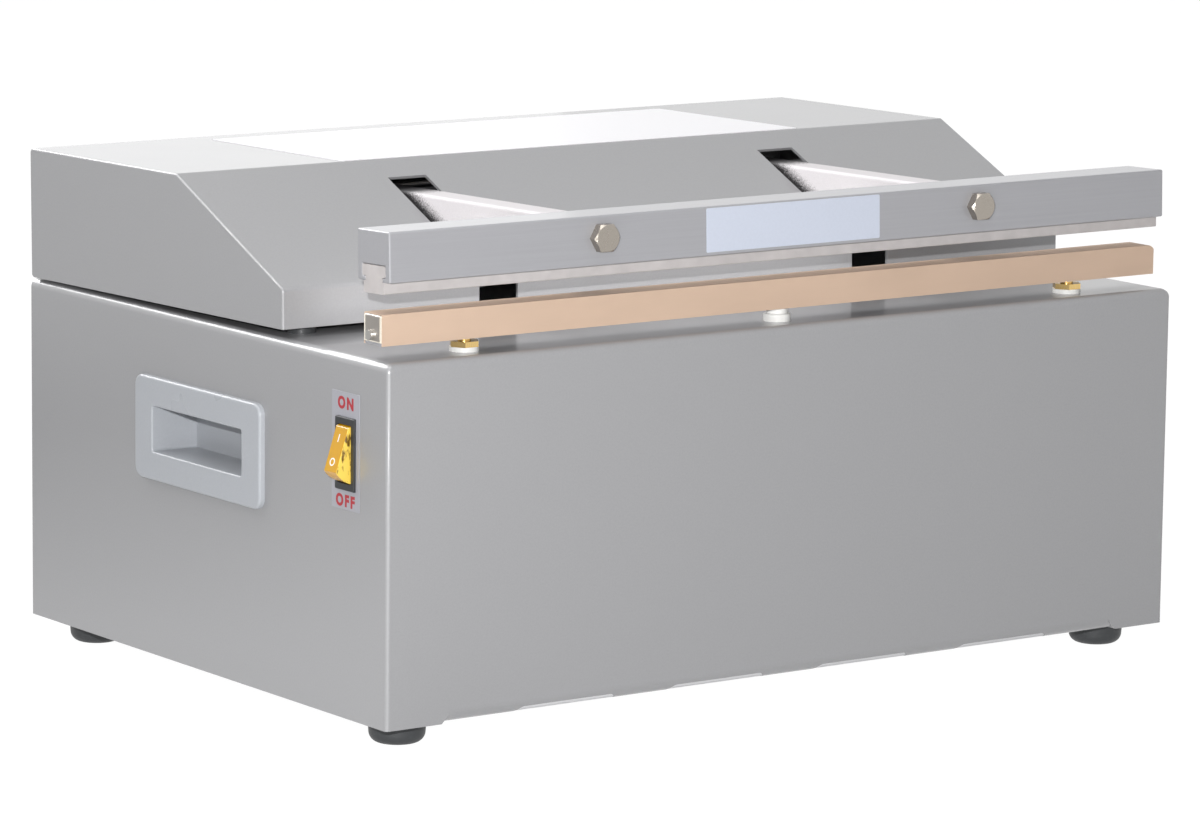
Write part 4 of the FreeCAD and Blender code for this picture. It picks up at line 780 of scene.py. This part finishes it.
class SEALER_OT_jaw_plate(bpy.types.Operator):
    """Bare plate on the front of the upper bar"""
    bl_idname = "sealer.jaw_plate"
    bl_label = "Jaw plate"

    def execute(self, context):
        sizes, colours = context.scene.sealer_sizes, context.scene.sealer_colours
        aside, rise, corner = -0.7 * MM, 41.9 * MM, 0.6 * MM
        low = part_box("upper_bar")[0]
        height = DECK + rise
        centre = Vector((aside, low.y + (height - low.z) * math.tan(JAW_SWING), height))
        up = Vector((0, math.sin(JAW_SWING), math.cos(JAW_SWING)))
        piece = flat_plate("jaw_plate", sizes.jaw_plate_width, sizes.jaw_plate_height,
                           sizes.plate_thickness, corner)
        film = printed_film("pearl_blue_film", tuple(colours.jaw_plate), 0.35)
        place_piece(dress(piece, film), facing(centre, (1, 0, 0), up))
        attach(piece, "jaw")
        return {"FINISHED"}


class SEALER_OT_hood_plate(bpy.types.Operator):
    """Bare plate on the hood's top"""
    bl_idname = "sealer.hood_plate"
    bl_label = "Hood plate"

    def execute(self, context):
        sizes, colours = context.scene.sealer_sizes, context.scene.sealer_colours
        rise, reach, corner = 56.18 * MM, -70.0 * MM, 1.5 * MM
        centre = HOOD_HINGE + HOOD_UP * rise + HOOD_BACK * reach
        piece = flat_plate("hood_plate", sizes.hood_plate_width, sizes.hood_plate_depth,
                           sizes.plate_thickness, corner)
        film = printed_film("white_film", tuple(colours.hood_plate), 0.35)
        place_piece(dress(piece, film), facing(centre, (1, 0, 0), HOOD_BACK))
        attach(piece, "hood")
        return {"FINISHED"}


class SEALER_OT_rear_screws(bpy.types.Operator):
    """Screws of the hinges, the rear panel and the inlet"""
    bl_idname = "sealer.rear_screws"
    bl_label = "Rear screws"

    def execute(self, context):
        head = context.scene.sealer_sizes.screw_head
        steel = worked_metal("zinc_screws", linear("#BFC1C4"), 0.3, 0.6)
        hinge_reach, hole_pitch, hole_rise = 130 * MM, 22 * MM, 14 * MM
        hinge_holes = [side * hinge_reach + step * hole_pitch for side in (-1, 1) for step in (-1, 0, 1)]
        leaf_thickness, leaf_setback, sunk = 1.2 * MM, 1.4 * MM, 0.1 * MM
        leaf = CABINET_HIGH.y + leaf_thickness - sunk
        spots = [Vector((x, leaf, DECK - hole_rise)) for x in hinge_holes]
        panel_reach, panel_rows = 190 * MM, (30 * MM, 136 * MM)
        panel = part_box("rear_panel")[1].y - sunk
        spots += [Vector((side * panel_reach, panel, z)) for side in (-1, 1) for z in panel_rows]
        inlet_low, inlet_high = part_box("mains_inlet")
        inlet_ear = 5 * MM
        inlet_z = (inlet_low.z + inlet_high.z) / 2
        spots += [Vector((x, inlet_high.y - sunk, inlet_z))
                  for x in (inlet_low.x + inlet_ear, inlet_high.x - inlet_ear)]
        places = [facing(spot, (-1, 0, 0), (0, 0, 1)) for spot in spots]
        screws = copies_at("rear_screws", pan_screw("rear_screw", head), places)
        attach(dress(screws, steel), "cabinet")
        hood_leaf = HOOD_HINGE + HOOD_UP * hole_rise - HOOD_BACK * (leaf_setback + sunk)
        places = [facing(hood_leaf + Vector((x, 0, 0)), (-1, 0, 0), HOOD_UP) for x in hinge_holes]
        screws = copies_at("hood_hinge_screws", pan_screw("hinge_screw", head), places)
        attach(dress(screws, steel), "hood")
        return {"FINISHED"}


class SEALER_OT_return_springs(bpy.types.Operator):
    """Wound return springs with closed ends, between the deck and the tie bar"""
    bl_idname = "sealer.return_springs"
    bl_label = "Return springs"

    def execute(self, context):
        steel = worked_metal("drawn_spring_wire", linear("#8E9196"), 0.28)
        wire = context.scene.sealer_sizes.spring_wire
        # A closed end turn lies on the next with hardly a gap.
        open_turns, end_pitch = 4, wire * 1.02
        for side in ("left", "right"):
            low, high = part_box("return_spring_" + side)
            middle = (low + high) / 2
            radius = (high.x - low.x) / 2 - wire / 2
            pitch = (high.z - low.z - wire - 2 * end_pitch) / open_turns
            first = low.z + wire / 2
            second = first + end_pitch
            last = second + pitch * open_turns
            name = "wound_spring_" + side
            runs = ((first, end_pitch, 1), (second, pitch, open_turns), (last, end_pitch, 1))
            piece = joined(name, [coil_run(name, wire, radius, *run) for run in runs])
            bpy.ops.object.mode_set(mode="EDIT")
            bpy.ops.mesh.select_all(action="SELECT")
            bpy.ops.mesh.remove_doubles(threshold=2 * MERGE_DISTANCE)
            bpy.ops.mesh.fill_holes(sides=0)
            bpy.ops.mesh.normals_make_consistent(inside=False)
            bpy.ops.object.mode_set(mode="OBJECT")
            place_piece(piece, Matrix.Translation(Vector((middle.x, middle.y, 0))))
            smooth(piece, degrees=40)
            attach(dress(piece, steel), "cabinet")
            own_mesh(piece)
            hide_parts("return_spring_" + side)
        return {"FINISHED"}


class SEALER_OT_stage(bpy.types.Operator):
    """Floor, light and the camera at the photograph's angle"""
    bl_idname = "sealer.stage"
    bl_label = "Stage"

    def execute(self, context):
        self.floor()
        self.sky()
        self.lamps()
        self.camera()
        bpy.context.scene.view_settings.view_transform = "Standard"
        return {"FINISHED"}

    def floor(self):
        """White paper that shows in reflections too, and keeps the shadow."""
        # What is seen of it is mostly an even glow. The rest is the lit paper, which holds the shadow.
        paper_size, glow_share, white = 40.0, 0.92, 1.08
        floor = fresh_piece("floor", bpy.ops.mesh.primitive_plane_add, size=paper_size)
        material, tree, place = new_tree("white_paper")
        ray = add_node(tree, "ShaderNodeLightPath")
        direct = add_node(tree, "ShaderNodeMath", {
            0: (ray, "Is Camera Ray"), 1: (ray, "Is Transmission Ray")}, operation="MAXIMUM")
        through = add_node(tree, "ShaderNodeMath", {0: (direct, "Value"), 1: (ray, "Is Glossy Ray")},
                           operation="MAXIMUM")
        share = add_node(tree, "ShaderNodeMath", {0: (through, "Value"), 1: glow_share},
                         operation="MULTIPLY")
        paper = add_node(tree, "ShaderNodeBsdfDiffuse", {"Color": linear("#D8D8D8")})
        # In reflections the sheet dims behind the object's left, which gives the left panel its sheen.
        rear_left = (-0.58, 0.81, 0)
        white_at, dim_at, pale_at = 0.25, 0.8, 1.3
        dim, pale = 0.2, 0.65
        aside = add_node(tree, "ShaderNodeVectorMath", {0: place, 1: rear_left}, operation="DOT_PRODUCT")
        near = add_node(tree, "ShaderNodeMapRange", {
            "Value": (aside, "Value"), "From Min": white_at, "From Max": dim_at, "To Min": white,
            "To Max": dim})
        far = add_node(tree, "ShaderNodeMapRange", {
            "Value": (aside, "Value"), "From Min": dim_at, "From Max": pale_at, "To Min": 0.0,
            "To Max": pale})
        mirrored = add_node(tree, "ShaderNodeMath", {0: (near, "Result"), 1: (far, "Result")})
        plain = add_node(tree, "ShaderNodeMath", {0: (direct, "Value"), 1: white}, operation="MULTIPLY")
        strength = add_node(tree, "ShaderNodeMath", {0: (mirrored, "Value"), 1: (plain, "Value")},
                            operation="MAXIMUM")
        glow = add_node(tree, "ShaderNodeEmission", {"Strength": (strength, "Value")})
        mixed = add_node(tree, "ShaderNodeMixShader", {
            0: (share, "Value"), 1: (paper, "BSDF"), 2: (glow, "Emission")})
        add_node(tree, "ShaderNodeOutputMaterial", {"Surface": (mixed, "Shader")})
        dress(floor, material)

    def sky(self):
        """Room that is plain white to the eye and in reflections, and lights the object faintly."""
        room_light = 0.05
        world = bpy.data.worlds.new("white_room")
        bpy.context.scene.world = world
        world.use_nodes = True
        tree = world.node_tree
        tree.nodes.clear()
        ray = add_node(tree, "ShaderNodeLightPath")
        seen = add_node(tree, "ShaderNodeMath", {0: (ray, "Is Camera Ray"), 1: (ray, "Is Glossy Ray")},
                        operation="MAXIMUM")
        through = add_node(tree, "ShaderNodeMath", {0: (seen, "Value"), 1: (ray, "Is Transmission Ray")},
                           operation="MAXIMUM")
        level = add_node(tree, "ShaderNodeMapRange", {
            "Value": (through, "Value"), "To Min": room_light, "To Max": 1.0})
        back = add_node(tree, "ShaderNodeBackground", {
            "Color": (1, 1, 1, 1), "Strength": (level, "Result")})
        add_node(tree, "ShaderNodeOutputWorld", {"Surface": (back, "Background")})

    def lamps(self):
        """Small lamp near the camera, soft boxes above and behind, and weak ones for the folds."""
        middle = Vector((0, 0, 0.1))
        lip = Vector((-45 * MM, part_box("hood_shell")[0].y, DECK + 10 * MM))
        for name, place, aim, width, height, power in (
                ("camera_lamp", (-1.10, -1.425, 0.485), middle, 0.016, 0.016, 26.0),
                ("top_box", (-0.4, -0.5, 2.2), middle, 1.6, 1.6, 17.0),
                ("rear_top_box", (-0.3, 1.1, 1.8), middle, 1.2, 0.8, 12.0),
                ("rear_strip", (-0.55, 2.0, 1.4), middle, 1.5, 0.55, 22.0),
                ("rear_low_box", (1.02, 1.9, 0.62), middle, 0.5, 0.8, 0.5),
                ("edge_lamp", (-1.3, 0.8, 1.62), middle, 0.2, 0.2, 6.0),
                ("low_strip", (-0.52, -0.58, 0.03), middle, 0.3, 0.02, 0.35),
                ("deck_bounce", lip + Vector((0, -26 * MM, 7 * MM)), lip, 0.28, 0.012, 0.045)):
            light = bpy.data.lights.new(name, "AREA")
            light.shape = "RECTANGLE"
            light.size, light.size_y = width, height
            light.energy = power
            lamp = bpy.data.objects.new(name, light)
            bpy.context.scene.collection.objects.link(lamp)
            lamp.location = place
            lamp.rotation_euler = (aim - Vector(place)).to_track_quat("-Z", "Y").to_euler()
            # The bounce stands for light that the deck throws on the hood's lip, so it isn't seen itself.
            if name == "deck_bounce":
                lamp.visible_camera = False
                lamp.visible_glossy = False

    def camera(self):
        """Camera fitted to the cabinet's edges in the photograph."""
        yaw, pitch, roll = math.radians(35.643), math.radians(9.529), math.radians(0.671)
        ahead = Vector((math.sin(yaw) * math.cos(pitch), math.cos(yaw) * math.cos(pitch), -math.sin(pitch)))
        level = ahead.cross(Vector((0, 0, 1))).normalized()
        above = level.cross(ahead)
        right = math.cos(roll) * level + math.sin(roll) * above
        up = -math.sin(roll) * level + math.cos(roll) * above
        data = bpy.data.cameras.new("camera")
        data.sensor_fit = "HORIZONTAL"
        data.sensor_width = 36.0
        data.lens = 170.08
        data.clip_start, data.clip_end = 0.1, 100
        camera = bpy.data.objects.new("camera", data)
        bpy.context.scene.collection.objects.link(camera)
        from_front_middle = Vector((-1.4154, -1.8337, 0.5053))
        place = Vector((0, CABINET_LOW.y, 0)) + from_front_middle
        camera.matrix_world = Matrix.Translation(place) @ Matrix((right, up, -ahead)).transposed().to_4x4()
        bpy.context.scene.camera = camera


class SEALER_PT_panel(bpy.types.Panel):
    """Steps that dress the sealer"""
    bl_idname = "SEALER_PT_panel"
    bl_label = "Impulse heat sealer"
    bl_space_type = "VIEW_3D"
    bl_region_type = "UI"
    bl_category = "Sealer"

    def draw(self, context):
        for step in STEPS:
            self.layout.operator(step.bl_idname)
        for group in (context.scene.sealer_sizes, context.scene.sealer_colours):
            for key in group.__annotations__:
                self.layout.prop(group, key)


STEPS = (
    SEALER_OT_stage, SEALER_OT_cabinet_finish, SEALER_OT_jaw_finish, SEALER_OT_inside_finish,
    SEALER_OT_vent_tabs, SEALER_OT_switch, SEALER_OT_jaw_plate, SEALER_OT_hood_plate, SEALER_OT_rear_screws,
    SEALER_OT_return_springs,
)
CLASSES = (SealerSizes, SealerColours) + STEPS + (SEALER_PT_panel,)


def register():
    for item in CLASSES:
        bpy.utils.register_class(item)
    bpy.types.Scene.sealer_sizes = bpy.props.PointerProperty(type=SealerSizes)
    bpy.types.Scene.sealer_colours = bpy.props.PointerProperty(type=SealerColours)


def unregister():
    del bpy.types.Scene.sealer_colours
    del bpy.types.Scene.sealer_sizes
    for item in reversed(CLASSES):
        bpy.utils.unregister_class(item)


def main():
    register()
    for step in STEPS:
        group, name = step.bl_idname.split(".")
        getattr(getattr(bpy.ops, group), name)()


if __name__ == "__main__":
    main()
